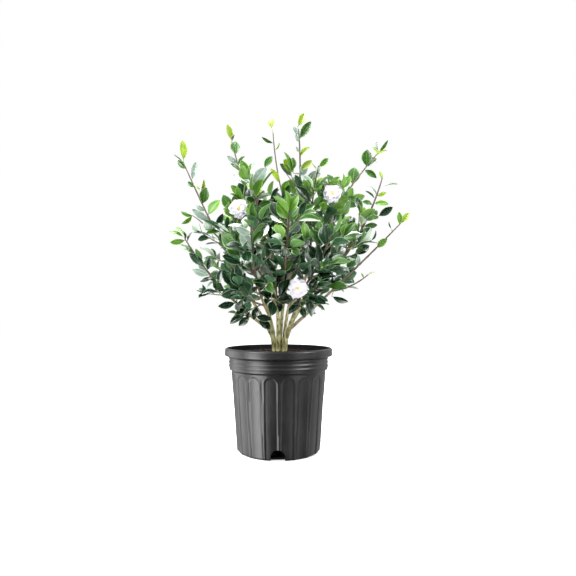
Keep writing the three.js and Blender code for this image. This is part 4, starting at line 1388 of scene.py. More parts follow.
LAID = {
    "upper_left": (
        Laid(1.0, -4, 50, 30, Hue.LIME, 0.36, 5, -10), Laid(1.0, -53, 28, 76, Hue.DEEP, 0.4),
        Laid(0.93, -43, 31, 30, Hue.MID, 0.44), Laid(0.83, 12, 48, 30, Hue.PALE, 0.34),
        Laid(0.77, -48, 22, 40, Hue.MID), Laid(0.8, 125, 21, 40, Hue.FRESH),
        Laid(0.66, 12, 46, 30, Hue.LIME, 0.2), Laid(0.62, 15, 38, 10, Hue.MID, 0.6),
        Laid(0.52, 33, 44, -10, Hue.FRESH, 0.62), Laid(0.46, -57, 50, 30, Hue.PALE, 0.32),
        Laid(0.4, 27, 40, 35, Hue.DEEP, 0.4), Laid(0.33, -72, 30, 60, Hue.FRESH, 0.4, 70, -50),
        Laid(0.31, -133, 30, 55, Hue.FRESH, 0.36, 76, -49), Laid(0.56, -60, 24, 40, Hue.PALE),
        Laid(0.3, -80, 40, 30, Hue.PALE, 0.34), Laid(0.34, 62, 34, 20, Hue.MID),
    ),
    "low_left": (
        Laid(1.0, -70, 32, 40, Hue.FRESH, 0.42, 6, -30), Laid(0.98, -97, 33, 50, Hue.FRESH, 0.4),
        Laid(1.0, -11, 18, 40, Hue.MID, 0.4), Laid(1.0, -52, 27, 30, Hue.FRESH, 0.42, 10, -10),
        Laid(0.95, 27, 24, 35, Hue.DEEP, 0.42), Laid(0.78, -54, 38, 20, Hue.MID, 0.46),
        Laid(0.6, -45, 42, 15, Hue.DEEP, 0.48), Laid(0.66, -20, 34, 30, Hue.MID, 0.42),
        Laid(0.48, -71, 42, 30, Hue.PALE, 0.4), Laid(0.5, -47, 38, 40, Hue.PALE, 0.42),
        Laid(0.44, -100, 30, 20, Hue.DEEP, 0.4), Laid(0.34, 6, 35, -15, Hue.DEEP, 0.46),
        Laid(0.4, -120, 24, 30, Hue.PALE, 0.4), Laid(0.05, -102, 38, 30, Hue.DEEP, 0.42),
        Laid(0.55, 12, 28, 20, Hue.DEEP, 0.44), Laid(0.36, -62, 30, 30, Hue.MID, 0.42),
    ),
    "low_skirt_left": (
        Laid(0.45, -117, 36, 10, Hue.DEEP, 0.48), Laid(0.1, -128, 32, 0, Hue.DEEP, 0.5),
        Laid(0.9, -75, 22, 30, Hue.MID, 0.44), Laid(0.4, -20, 26, 40, Hue.DEEP, 0.44),
        Laid(0.02, 118, 38, 20, Hue.DEEP, 0.46, 14, 120),
        Laid(0.3, 100, 34, 15, Hue.DEEP, 0.46, 16, 96),
    ),
    "tall_left": (
        Laid(1.0, -14, 36, 10, Hue.LIME, 0.42, 7, -6), Laid(1.0, -8, 36, 30, Hue.DEEP, 0.4, 5, 12),
        Laid(0.86, -2, 36, 0, Hue.MID, 0.68), Laid(0.77, -54, 31, 22, Hue.PALE, 0.44),
        Laid(0.7, -45, 30, 15, Hue.MID, 0.44), Laid(0.76, 30, 29, 35, Hue.MID, 0.44),
        Laid(0.58, -43, 36, 25, Hue.PALE, 0.4), Laid(0.45, -54, 43, 30, Hue.FRESH, 0.42),
        Laid(0.62, 20, 30, 30, Hue.FRESH, 0.44), Laid(0.52, 8, 24, 30, Hue.PALE, 0.4),
        Laid(0.68, 60, 26, 40, Hue.PALE, 0.42),
    ),
    "left_front": (
        Laid(0.9, -25, 37, 5, Hue.MID, 0.56), Laid(0.6, -15, 32, 20, Hue.FRESH, 0.44),
        Laid(0.45, 5, 34, 10, Hue.MID, 0.5), Laid(0.35, 62, 30, 10, Hue.MID, 0.5),
    ),
    "inner_left": (
        Laid(1.0, -13, 22, 70, Hue.DEEP, 0.4), Laid(1.0, 41, 28, 40, Hue.PALE, 0.42, 16, -6),
        Laid(0.91, 40, 45, 15, Hue.PALE, 0.5), Laid(0.9, 33, 29, 5, Hue.MID, 0.5, 42, 33),
        Laid(0.56, 20, 30, 10, Hue.PALE, 0.48, 18, 60), Laid(0.75, -25, 28, 30, Hue.PALE, 0.4),
        Laid(0.7, 70, 28, 20, Hue.MID, 0.5), Laid(0.6, -50, 30, 10, Hue.FRESH, 0.5),
    ),
    "centre_top": (
        Laid(1.0, -5, 29, 0, Hue.LIME, 0.54, 13, -14), Laid(0.9, -59, 31, 74, Hue.MID, 0.3),
        Laid(0.83, 30, 23, 76, Hue.LIME, 0.3), Laid(0.5, -32, 41, 10, Hue.LIME, 0.36),
        Laid(0.4, 22, 31, 10, Hue.FRESH, 0.6), Laid(0.44, 80, 30, 15, Hue.FRESH, 0.56),
        Laid(0.34, -60, 34, 30, Hue.PALE, 0.4), Laid(0.36, 30, 32, 20, Hue.MID, 0.5),
    ),
    "middle_top": (
        Laid(1.0, 26, 37, 15, Hue.LIME, 0.42, 8, -16), Laid(0.9, 36, 42, 10, Hue.MID, 0.42),
        Laid(0.86, -25, 22, 40, Hue.PALE, 0.4), Laid(0.94, -32, 22, 35, Hue.PALE, 0.4),
        Laid(0.72, 41, 31, 35, Hue.LIME, 0.42), Laid(0.55, -39, 36, 0, Hue.LIME, 0.56, 13, -88),
        Laid(0.58, 50, 33, 20, Hue.LIME, 0.42), Laid(0.76, -30, 16, 40, Hue.PALE, 0.4),
        Laid(0.5, 76, 34, 20, Hue.PALE, 0.5, 14, 70), Laid(0.5, 20, 36, 25, Hue.PALE, 0.5),
    ),
    "upper_right": (
        Laid(1.0, 48, 28, 25, Hue.FRESH, 0.42), Laid(0.84, 67, 25, 30, Hue.LIME, 0.44),
        Laid(0.8, 52, 26, 20, Hue.FRESH, 0.44, 30, 83), Laid(0.78, -42, 40, 15, Hue.PALE, 0.5),
        Laid(0.95, -40, 20, 50, Hue.LIME, 0.4), Laid(0.9, 20, 22, 30, Hue.PALE, 0.4),
    ),
    "high_right": (
        Laid(1.0, -8, 30, 62, Hue.PALE, 0.3), Laid(1.0, 41, 34, 62, Hue.MID, 0.3),
        Laid(0.97, -23, 22, 20, Hue.LIME, 0.44), Laid(0.94, 62, 31, 30, Hue.LIME, 0.26),
        Laid(0.82, 2, 38, 0, Hue.MID, 0.66), Laid(0.82, 50, 36, 5, Hue.MID, 0.6),
        Laid(0.62, 10, 46, 0, Hue.MID, 0.66), Laid(0.79, 126, 35, 20, Hue.MID, 0.42),
        Laid(0.56, 128, 26, 30, Hue.FRESH, 0.44), Laid(0.52, -36, 32, 30, Hue.FRESH, 0.44),
    ),
    "right": (
        Laid(1.0, -14, 17, 20, Hue.LIME, 0.5), Laid(0.9, 66, 44, 50, Hue.MID, 0.32),
        Laid(0.83, -34, 24, 40, Hue.PALE, 0.42), Laid(0.79, -57, 27, 74, Hue.DEEP, 0.34),
        Laid(0.74, 88, 31, -5, Hue.FRESH, 0.52), Laid(0.73, -78, 24, 5, Hue.MID, 0.56),
        Laid(0.82, 73, 21, 40, Hue.LIME, 0.4), Laid(0.56, -2, 27, 10, Hue.DEEP, 0.58, 27, -36),
        Laid(0.5, 12, 33, 5, Hue.LIME, 0.5, 8, -40), Laid(0.64, 59, 34, 20, Hue.DEEP, 0.46, 18, 112),
        Laid(0.56, 38, 28, 15, Hue.MID, 0.5, 8, 80), Laid(0.36, -28, 40, 0, Hue.MID, 0.66),
        Laid(0.5, 84, 30, 30, Hue.MID, 0.42), Laid(0.42, 62, 26, 30, Hue.PALE, 0.4),
    ),
    "far_right": (
        Laid(1.0, 41, 31, 10, Hue.LIME, 0.42), Laid(0.97, -4, 26, 10, Hue.FRESH, 0.5),
        Laid(0.6, 49, 29, 10, Hue.FRESH, 0.52), Laid(0.86, -24, 16, 70, Hue.MID, 0.3, 6, -20),
        Laid(0.2, -60, 27, 30, Hue.PALE, 0.42), Laid(0.07, -10, 18, 30, Hue.DEEP, 0.44),
        Laid(0.3, 8, 24, 20, Hue.PALE, 0.44), Laid(0.14, -36, 28, 25, Hue.PALE, 0.42),
    ),
    "low_right": (
        Laid(1.0, 70, 16, 50, Hue.LIME, 0.4), Laid(0.86, -20, 12, 40, Hue.FRESH),
        Laid(0.4, 98, 25, 30, Hue.PALE, 0.36), Laid(0.05, 110, 38, 35, Hue.DEEP, 0.36, 12, 200),
        Laid(0.6, -30, 14, 30, Hue.MID, 0.44), Laid(0.15, 30, 20, 30, Hue.DEEP, 0.44),
    ),
    "front_low_right": (
        Laid(0.08, 114, 26, 62, Hue.MID, 0.4, 24, 150), Laid(0.06, 178, 15, 20, Hue.DEEP, 0.5),
        Laid(0.5, 60, 32, 15, Hue.DEEP, 0.44), Laid(0.9, 62, 34, 30, Hue.DEEP, 0.42),
    ),
    "front_centre": (
        Laid(0.9, -38, 35, 0, Hue.FRESH, 0.62), Laid(0.86, 20, 34, 5, Hue.FRESH, 0.62),
        Laid(0.7, -55, 34, 8, Hue.FRESH, 0.56), Laid(0.6, 48, 34, 30, Hue.MID, 0.4),
        Laid(0.5, -30, 30, 10, Hue.MID, 0.5),
    ),
    "front_right": (
        Laid(0.8, -4, 42, 0, Hue.DEEP, 0.66), Laid(0.6, 30, 36, 5, Hue.DEEP, 0.6),
        Laid(0.9, 50, 32, 10, Hue.MID, 0.56), Laid(0.5, -40, 34, 30, Hue.PALE, 0.4),
    ),
    "front_left": (
        Laid(0.96, -20, 30, 5, Hue.MID, 0.62), Laid(0.8, -62, 32, 30, Hue.PALE, 0.42),
        Laid(0.7, 40, 32, 8, Hue.MID, 0.5), Laid(0.5, -66, 34, 10, Hue.FRESH, 0.46),
    ),
    "front_low": (
        Laid(0.55, -42, 27, 5, Hue.FRESH, 0.5), Laid(0.75, 27, 28, 0, Hue.FRESH, 0.56),
        Laid(0.6, -8, 32, 0, Hue.FRESH, 0.46), Laid(0.95, -30, 30, 10, Hue.DEEP, 0.6),
        Laid(0.95, 72, 36, 10, Hue.DEEP, 0.5, 8, 90), Laid(0.9, 48, 34, 20, Hue.MID, 0.46, 8, 70),
    ),
}


@dataclass
class Axis:
    """The line and thickness of one cane, bough or stem, in millimetres."""

    name: str
    curve: Bow
    radius_at: Callable[[float], float]
    index: int = 0
    shoot: Shoot | None = None


@dataclass
class Skeleton:
    """All the axes of the plant, worked out as in the part's source."""

    flare: float = 1.15
    flare_height: float = 7.0
    fork_share: float = 0.985
    canes: list[Axis] = field(default_factory=list)
    boughs: list[Axis] = field(default_factory=list)
    stems: list[Axis] = field(default_factory=list)

    def __post_init__(self) -> None:
        """Grows the canes, then each shoot from what carries it."""
        named: dict[str, Axis] = {}
        for cane in CANES:
            start = Vector((*cane.foot, GROUND_LEVEL - 2))
            axis = Axis(cane.name, Bow.bowed(start, Vector(cane.tip), cane.bow), self.cane_radius(cane))
            self.canes.append(axis)
            named[cane.name] = axis
        for number, shoot in enumerate(SHOOTS):
            parent = named.get("bough_" + shoot.source) or named[shoot.source]
            start = parent.curve.point(min(shoot.at, self.fork_share))
            whole = Bow.bowed(start, Vector(shoot.tip), shoot.bow)
            if shoot.bough > 0:
                name = "bough_" + shoot.name
                taper = self.taper(shoot, 0.0, shoot.bough)
                named[name] = Axis(name, whole.stretch(0.0, shoot.bough), taper)
                self.boughs.append(named[name])
            curve = whole.stretch(max(shoot.bough - 0.006, 0.0), 1.0)
            name = "foliage_" + shoot.name
            named[shoot.name] = Axis(name, curve, self.taper(shoot, shoot.bough, 1.0), number, shoot)
            self.stems.append(named[shoot.name])

    def cane_radius(self, cane: Cane) -> Callable[[float], float]:
        """The thickness of a cane, with its root flare.

        Args:
            cane: the cane.

        Returns:
            A function that gives its half thickness at a share of its length.
        """
        def radius(share: float) -> float:
            """The half thickness of this cane.

            Args:
                share: a share of its length.

            Returns:
                An even taper that is wider at the foot.
            """
            height = share * (cane.tip[2] - GROUND_LEVEL)
            flare = 1 + (self.flare - 1) * math.exp(-height / self.flare_height)
            return mix(*cane.radius, share) * flare
        return radius

    @staticmethod
    def taper(shoot: Shoot, low: float, high: float) -> Callable[[float], float]:
        """The half thickness of a stretch of a shoot at a share of that stretch."""
        return lambda share: mix(*shoot.radius, mix(low, high, share))


@dataclass
class BarkLimbs:
    """The trunk, canes and boughs with the relief of their bark."""

    skeleton: Skeleton
    ring_step: float = 2.6
    node_step: float = 23.0
    node_height: float = 0.09
    ridge: float = 0.05
    wander: float = 0.7
    wander_scale: float = 0.05
    grain_scale: float = 2.2
    joint_length: float = 1.7
    cane_sides: int = 16
    bough_sides: int = 12
    scar_height: float = 229.0
    scar_half: float = 1.6
    finish: BarkFinish = field(default_factory=lambda: BarkFinish(
        "cane_bark", "bab67c", "747042", "2e3214", "ece8c6", 0.23, 0.37, 4.5, 0.6, 0.001))
    bough_finish: BarkFinish = field(default_factory=lambda: BarkFinish(
        "bough_bark", "a0966a", "5f4f44", "4a4034", "b0a288", 0.28, 0.42, 6.0, 0.6, 0.0005))
    scar: GrainFinish = field(default_factory=lambda: GrainFinish(
        "cane_scar", "dcd6b4", "c4bb90", 0.7, 180.0))

    def mesh(self, axis: Axis, sides: int, key: int, foot: bool) -> bmesh.types.BMesh:
        """One limb: a cylinder bent along its curve, with nodes, ridges and a rounded tip.

        Args:
            axis: the limb's line and thickness.
            sides: the number of sides.
            key: the seed key of its relief.
            foot: whether it stands in the bark mix.

        Returns:
            The limb's mesh with a UV that runs round and along it.
        """
        bm = bmesh.new()
        rings = max(6, round(axis.curve.length / self.ring_step))
        bmesh.ops.create_cone(bm, cap_ends=True, cap_tris=False, segments=sides, radius1=1.0,
                              radius2=1.0, depth=1.0)
        upright = [e for e in bm.edges if abs(e.verts[0].co.z - e.verts[1].co.z) > 0.5]
        bmesh.ops.subdivide_edges(bm, edges=upright, cuts=rings - 1)
        layer = bm.loops.layers.uv.verify()
        for face in bm.faces:
            turns = [math.atan2(loop.vert.co.y, loop.vert.co.x) / math.tau % 1.0 for loop in face.loops]
            wraps = max(turns) - min(turns) > 0.5
            for loop, turn in zip(face.loops, turns):
                along = (loop.vert.co.z + 0.5) * axis.curve.length / UV_RUN
                loop[layer].uv = (turn + (1.0 if wraps and turn < 0.5 else 0.0), along)
        tangent = axis.curve.tangent(0.0)
        side = tangent.cross(UP)
        side = Vector((1.0, 0.0, 0.0)) if side.length < 1e-3 else side.normalized()
        placed = {}
        for ring in range(rings + 1):
            share = ring / rings
            turned = axis.curve.tangent(share)
            side = (tangent.rotation_difference(turned) @ side).normalized()
            tangent = turned
            placed[ring] = (axis.curve.point(share), side.copy(), tangent.cross(side))
        for vert in bm.verts:
            ring = round((vert.co.z + 0.5) * rings)
            middle, across, over = placed[ring]
            angle = math.atan2(vert.co.y, vert.co.x)
            along = ring / rings * axis.curve.length
            radius = axis.radius_at(ring / rings) * self.swell(axis, angle, along, key)
            aside = [noise.noise(Vector((along * self.wander_scale, key, lane))) for lane in (0.0, 9.0)]
            drift = Vector((*aside, 0.0))
            if foot and ring == 0:
                drift = Vector((0.0, 0.0, -4.0))
            vert.co = (middle + drift * self.wander + across * (math.cos(angle) * radius)
                       + over * (math.sin(angle) * radius)) * MM
        bmesh.ops.recalc_face_normals(bm, faces=bm.faces)
        return bm

    def swell(self, axis: Axis, angle: float, along: float, key: int) -> float:
        """The bark's relief at a place of a limb.

        Args:
            axis: the limb.
            angle: the place's angle round it, in radians.
            along: its distance from the foot, in millimetres.
            key: the seed key of the limb.

        Returns:
            A factor for the limb's half thickness.
        """
        round_place = (math.cos(angle) * self.grain_scale, math.sin(angle) * self.grain_scale)
        grain = noise.noise(Vector((*round_place, along * self.wander_scale + key * 9.0)))
        node = (along + 7.0 * Dice.chance(key, Draw.BARK_NODE)) / self.node_step
        offset = (node - round(node)) * self.node_step
        facing = math.cos(angle - math.radians(GOLDEN_ANGLE * round(node)))
        joint = self.node_height * math.exp(-((offset / self.joint_length) ** 2))
        joint *= 0.55 + 0.75 * max(facing, 0.0)
        end = axis.curve.length - along
        close = 1.0 if end > 3.0 else math.sqrt(max(1.0 - ((3.0 - end) / 3.2) ** 2, 0.05))
        return (1.0 + self.ridge * grain * 2.0 + joint) * close

    def build(self, effects: Effects) -> list[bpy.types.Object]:
        """Makes each cane and bough.

        Args:
            effects: the shared node groups.

        Returns:
            One piece for each CAD limb.
        """
        cane_bark, scar = self.finish.make(effects), self.scar.make(effects)
        bough_bark = self.bough_finish.make(effects)
        made = []
        for number, axis in enumerate(self.skeleton.canes):
            bm = self.mesh(axis, self.cane_sides, number + 1, True)
            if axis.name == "trunk":
                for face in bm.faces:
                    middle = face.calc_center_median() / MM
                    if abs(middle.z - self.scar_height) < self.scar_half and middle.y < 2.0:
                        face.material_index = 1
            obj = Piece.from_bmesh(axis.name + "_bark", bm, [cane_bark, scar])
            made.append(Piece.settle(obj, "cane_bark", [axis.name]))
        for number, axis in enumerate(self.skeleton.boughs):
            bm = self.mesh(axis, self.bough_sides, number + 31, False)
            obj = Piece.from_bmesh(axis.name + "_bark", bm, [bough_bark])
            made.append(Piece.settle(obj, "bough_bark", [axis.name]))
        return made


# ---------------------------------------------------------------- leaves and twigs


@dataclass
class LeafShapes:
    """The kinds of blade that the leaves are made from, each of unit length and half width."""

    along: tuple[float, ...] = (0.0, 0.07, 0.1, 0.22, 0.4, 0.58, 0.76, 0.9, 1.0)
    widest: float = 0.98
    fullness: float = 0.8
    thickness: float = 0.011
    stalk: float = 0.08
    stalk_half: float = 0.07
    fold_lift: float = 0.28
    belly: float = 0.03
    curl_drop: float = 0.5
    ripple_rate: float = 17.0
    folds: tuple[float, ...] = (0.12, 0.3, 0.5, 0.22, 0.38)
    curls: tuple[float, ...] = (0.16, -0.05, 0.2, 0.36, 0.08)
    ripples: tuple[float, ...] = (0.0, 0.02, 0.01, 0.03, 0.035)

    def half_width(self, t: float) -> float:
        """The outline of the blade, with a short narrow stalk.

        Args:
            t: a share of its length.

        Returns:
            Its half width there, 1 at the widest.
        """
        if t < self.stalk:
            return self.stalk_half
        blade = (t - self.stalk) / (1 - self.stalk)
        if blade >= 1:
            return 0.0
        return max(math.sin(math.pi * blade ** self.widest), 0.0) ** self.fullness

    def kind(self, number: int) -> Shape:
        """One kind of blade.

        Args:
            number: the number of its fold, curl and ripple.

        Returns:
            A closed blade with its upper face in slot 0 and its back in slot 1.
        """
        fold, curl, ripple = self.folds[number], self.curls[number], self.ripples[number]
        bm = bmesh.new()
        bmesh.ops.create_grid(bm, x_segments=4, y_segments=len(self.along) - 1, size=1.0)
        layer = bm.loops.layers.uv.verify()
        rows = sorted({round(v.co.y, 4) for v in bm.verts})
        where = {row: self.along[min(n, len(self.along) - 1)] for n, row in enumerate(rows)}
        place = {v: (v.co.x, where[round(v.co.y, 4)]) for v in bm.verts}
        for face in bm.faces:
            for loop in face.loops:
                across, t = place[loop.vert]
                loop[layer].uv = (0.5 + 0.5 * across, t)
        for vert, (across, t) in place.items():
            half = self.half_width(t)
            lift = fold * abs(across) * half * self.fold_lift - curl * t * t * self.curl_drop
            lift += ripple * math.sin(t * self.ripple_rate) * abs(across) * half
            vert.co = Vector((across * half, t, lift + self.belly * math.sin(math.pi * t)))
        for face in bm.faces:
            face.normal_update()
        if sum(face.normal.z for face in bm.faces) < 0:
            bmesh.ops.reverse_faces(bm, faces=bm.faces)
        upper = {v: v.co.copy() for v in bm.verts}
        back = bmesh.ops.duplicate(bm, geom=list(bm.verts) + list(bm.edges) + list(bm.faces))
        under = [f for f in back["geom"] if isinstance(f, bmesh.types.BMFace)]
        bmesh.ops.reverse_faces(bm, faces=under)
        for face in under:
            face.material_index = 1
        pairs = {b: a for a, b in back["vert_map"].items() if a in upper}
        for vert, source in pairs.items():
            across, t = place[source]
            depth = self.thickness * (1.0 - across * across) * (1.0 if 0.0 < t < 1.0 else 0.0)
            vert.co.z -= max(depth, 0.0)
        bmesh.ops.remove_doubles(bm, verts=bm.verts, dist=1e-4)
        return Shape.of(bm)

    def all(self) -> list[Shape]:
        """Every kind of blade."""
        return [self.kind(number) for number in range(len(self.folds))]


@dataclass
class Leaf:
    """One placed leaf, in millimetres."""

    root: Vector
    direction: Vector
    normal: Vector
    length: float
    width: float
    kind: int
    hue: Hue

    def matrix(self) -> Matrix:
        """Where this leaf stands.

        Returns:
            The transform that carries a unit blade to it, in metres.
        """
        ahead = self.direction.normalized()
        normal = (self.normal - ahead * self.normal.dot(ahead)).normalized()
        across = ahead.cross(normal)
        rows = [(a * self.width / 2, b * self.length, c * self.length)
                for a, b, c in zip(across, ahead, normal)]
        return Matrix.Translation(self.root * MM) @ (Matrix(rows) * MM).to_4x4()


@dataclass
class Twig:
    """One side twig, in millimetres."""

    curve: Bow
    thick: float
    thin: float
    green: bool


@dataclass
class Crown:
    """The twigs and leaves of every mass, grown by the rule of the part's source."""

    skeleton: Skeleton
    blooms: Sequence["Bloom"]
    node_spacing: float = 23.0
    leaf_spacing: float = 10.5
    leaf_length: float = 39.0
    leaf_breadth: float = 0.54
    leaf_angle: float = 46.0
    twig_angle: float = 50.0
    twig_radius: float = 1.5
    tip_radius: float = 0.7
    space_overlap: float = 14.0
    bloom_clear: float = 20.0
    bloom_lane: float = 120.0
    limb_clear: float = 1.2
    leaf_clear: float = 3.6
    cell: float = 6.0
    ground_clear: float = 12.0
    attempts: int = 5
    stem_end: float = 0.985
    end_leaves: tuple[tuple[float, float], ...] = ((5.0, 40.0), (30.0, 160.0), (34.0, 290.0))
    twig_end: float = 0.97
    tip_leaves: tuple[tuple[float, float], ...] = ((8.0, 0.0), (34.0, 100.0), (36.0, 260.0))
    leaf_roll: float = 58.0
    leaf_kinds: int = 5
    twig_bare: float = 9.0
    fork_from: float = 34.0
    fork_length: float = 0.46
    fork_thin: float = 0.7
    twig_keys: int = 16
    stem_bare: float = 0.04
    end_bare: float = 6.0
    twig_stretch: float = 1.12
    laid_turns_from: float = 20.0
    mark_shares: Triple = (0.45, 0.75, 1.0)
    mark_middle: float = 0.55
    painted_sheen_share: float = 0.045
    hue_foot: float = 300.0
    hue_rise: float = 380.0
    hue_reach: float = 230.0
    hue_weights: Triple = (0.74, 0.24, 0.26)
    hue_spread: float = 0.2
    lime_from: float = 0.98
    lime_height: float = 0.6
    fresh_from: float = 0.68
    mid_from: float = 0.48
    leaves: dict[str, list[Leaf]] = field(default_factory=dict)
    twigs: dict[str, list[Twig]] = field(default_factory=dict)

    def __post_init__(self) -> None:
        """Samples the stems and limbs, then grows each mass."""
        stems = self.skeleton.stems
        self.samples = np.array([[axis.curve.point(n / 24)[:] for n in range(25)] for axis in stems])
        limbs = [(axis.curve.point(n / 30), axis.radius_at(n / 30)) for axis in
                 self.skeleton.canes + self.skeleton.boughs for n in range(31)]
        self.limb_points = np.array([point[:] for point, _ in limbs])
        self.limb_radii = np.array([radius for _, radius in limbs])
        self.taken: dict[tuple[int, ...], list[Vector]] = {}
        for axis in stems:
            self.leaves[axis.name], self.twigs[axis.name] = [], []
            self.lay(axis)
        for axis in stems:
            self.grow(axis)

    def room(self, point: Vector, index: int) -> float:
        """How much nearer a point is to its own stem than to any other.

        Args:
            point: the point.
            index: the number of its own stem.

        Returns:
            The difference in millimetres, below 0 where another stem is nearer.
        """
        gaps = np.linalg.norm(self.samples - np.array(point[:]), axis=2).min(axis=1)
        own = gaps[index]
        gaps[index] = 1e9
        return float(gaps.min() - own)

    def hides_bloom(self, point: Vector) -> bool:
        """Whether a point is in the way of an open blossom.

        Args:
            point: the point.

        Returns:
            Whether it stands in a blossom or in the lane that one looks out along.
        """
        for bloom in self.blooms:
            ahead = (point - bloom.centre).dot(bloom.out)
            aside = (point - bloom.centre - bloom.out * ahead).length
            if -8.0 < ahead < self.bloom_lane and aside < self.bloom_clear:
                return True
        return False

    def clear_of_limbs(self, point: Vector) -> bool:
        """Whether a point is outside every cane and bough."""
        gaps = np.linalg.norm(self.limb_points - np.array(point[:]), axis=1) - self.limb_radii
        return bool(gaps.min() > self.limb_clear)

    def off_limits(self, marks: Sequence[Vector], index: int) -> bool:
        """Whether any of these points is in a blossom's way or in another mass's space."""
        return any(self.hides_bloom(mark) or self.room(mark, index) < -self.space_overlap
                   for mark in marks)

    def cell_of(self, point: Vector) -> tuple[int, ...]:
        """The grid cell that a point lies in."""
        return tuple(int(math.floor(value / self.cell)) for value in point)

    def cells(self, point: Vector) -> Iterable[tuple[int, int, int]]:
        """The grid cells that may hold leaves too near a point.

        Args:
            point: the point.

        Yields:
            Its own cell and the 26 round it.
        """
        x, y, z = self.cell_of(point)
        for dx, dy, dz in itertools.product((-1, 0, 1), repeat=3):
            yield (x + dx, y + dy, z + dz)

    def crowded(self, points: Sequence[Vector]) -> bool:
        """Whether any of these points lies too near a leaf that is there already."""
        return any((other - point).length < self.leaf_clear for point in points
                   for cell in self.cells(point) for other in self.taken.get(cell, ()))

    def occupy(self, points: Sequence[Vector]) -> None:
        """Remembers a leaf's points."""
        for point in points:
            self.taken.setdefault(self.cell_of(point), []).append(point)

    @staticmethod
    def offshoot(tangent: Vector, angle: float, spin: float) -> Vector:
        """The direction of what leaves a limb.

        Args:
            tangent: the limb's direction.
            angle: the angle between the two, in degrees.
            spin: the turn about the limb, in degrees.

        Returns:
            A unit vector.
        """
        side = tangent.cross(UP)
        side = Vector((1.0, 0.0, 0.0)) if side.length_squared < 1e-4 else side.normalized()
        side = Quaternion(tangent, math.radians(spin)) @ side
        lean = math.radians(angle)
        return (tangent * math.cos(lean) + side * math.sin(lean)).normalized()

    @staticmethod
    def light(point: Vector) -> Vector:
        """The way an upper leaf face looks: up, and out from the crown's middle."""
        return Vector((point.x, point.y, 0.0)).normalized() * 0.9 + UP

    def hue(self, point: Vector, newness: float, *keys: int) -> Hue:
        """The hue of a leaf from its place in the crown: lighter high and out, darker low and inside,
        partly for its age and partly as painted light and shade.

        Args:
            point: the leaf's root.
            newness: how near it is to the end of its shoot, from 0 to 1.
            keys: the seed keys of the leaf.

        Returns:
            Its hue.
        """
        # Height and reach raise the score: partly newer growth at the top and outside, partly painted
        # light there and painted shade low and inside the crown.
        height = (point.z - self.hue_foot) / self.hue_rise
        out = math.hypot(point.x, point.y) / self.hue_reach
        by_height, by_reach, by_age = self.hue_weights
        score = by_height * height + by_reach * out + by_age * newness
        score += Dice.between(-self.hue_spread, self.hue_spread, *keys, Draw.HUE)
        # A few leaves at random get the grey-green finish, a painted sheen.
        if Dice.chance(*keys, Draw.PALE) < self.painted_sheen_share:
            return Hue.PALE
        if score > self.lime_from and height > self.lime_height:
            return Hue.LIME
        if score > self.fresh_from:
            return Hue.FRESH
        return Hue.MID if score > self.mid_from else Hue.DEEP

    def lay(self, axis: Axis) -> None:
        """Sets the leaves of a shoot that are laid by hand.

        Args:
            Sets the listed leaves of a shoot.
        """
        for number, laid in enumerate(LAID.get(axis.shoot.name, ())):
            keys = (axis.index, number)
            point = axis.curve.point(min(laid.share, self.skeleton.fork_share))
            if laid.stalk > 0:
                way = self.clockwise(laid.stalk_clock, Dice.between(-0.2, 0.2, *keys, Draw.LAID_STALK))
                lift = axis.curve.tangent(min(laid.share, 1.0)) * (0.12 * laid.stalk)
                twig = Bow(point, point + way * (0.5 * laid.stalk) + lift, point + way * laid.stalk)
                self.twigs[axis.name].append(Twig(twig, 1.0, self.tip_radius, laid.stalk < 30))
                point = twig.tip
            way = self.clockwise(laid.clock, Dice.between(-0.28, 0.22, *keys, Draw.LAID_LEAN))
            normal = Vector((0.0, -1.0, 0.3))
            normal = (normal - way * normal.dot(way)).normalized()
            turn = laid.roll
            if turn > self.laid_turns_from:
                turn = math.copysign(turn, Dice.between(-1.0, 1.0, *keys, Draw.LAID_SIDE))
            turn += Dice.between(-8.0, 8.0, *keys, Draw.LAID_ROLL)
            normal = Quaternion(way, math.radians(turn)) @ normal
            side = way.cross(normal) * (laid.length * laid.breadth / 2)
            checks = [point + way * (laid.length * share) for share in (0.25, 0.6, 1.0)]
            if any(self.hides_bloom(mark) for mark in checks):
                continue
            self.occupy([point + way * (laid.length * share) for share in (0.4, 0.7, 1.0)])
            middle = point + way * (laid.length * self.mark_middle)
            self.occupy([middle + side, middle - side])
            kind = int(Dice.chance(*keys, Draw.LAID_KIND) * self.leaf_kinds)
            width = laid.length * laid.breadth
            leaf = Leaf(point.copy(), way, normal, laid.length, width, kind, laid.hue)
            self.leaves[axis.name].append(leaf)

    @staticmethod
    def clockwise(clock: float, lean: float) -> Vector:
        """The direction at a clock angle in the front view, leaning back by lean."""
        angle = math.radians(clock)
        return Vector((math.sin(angle), lean, math.cos(angle))).normalized()

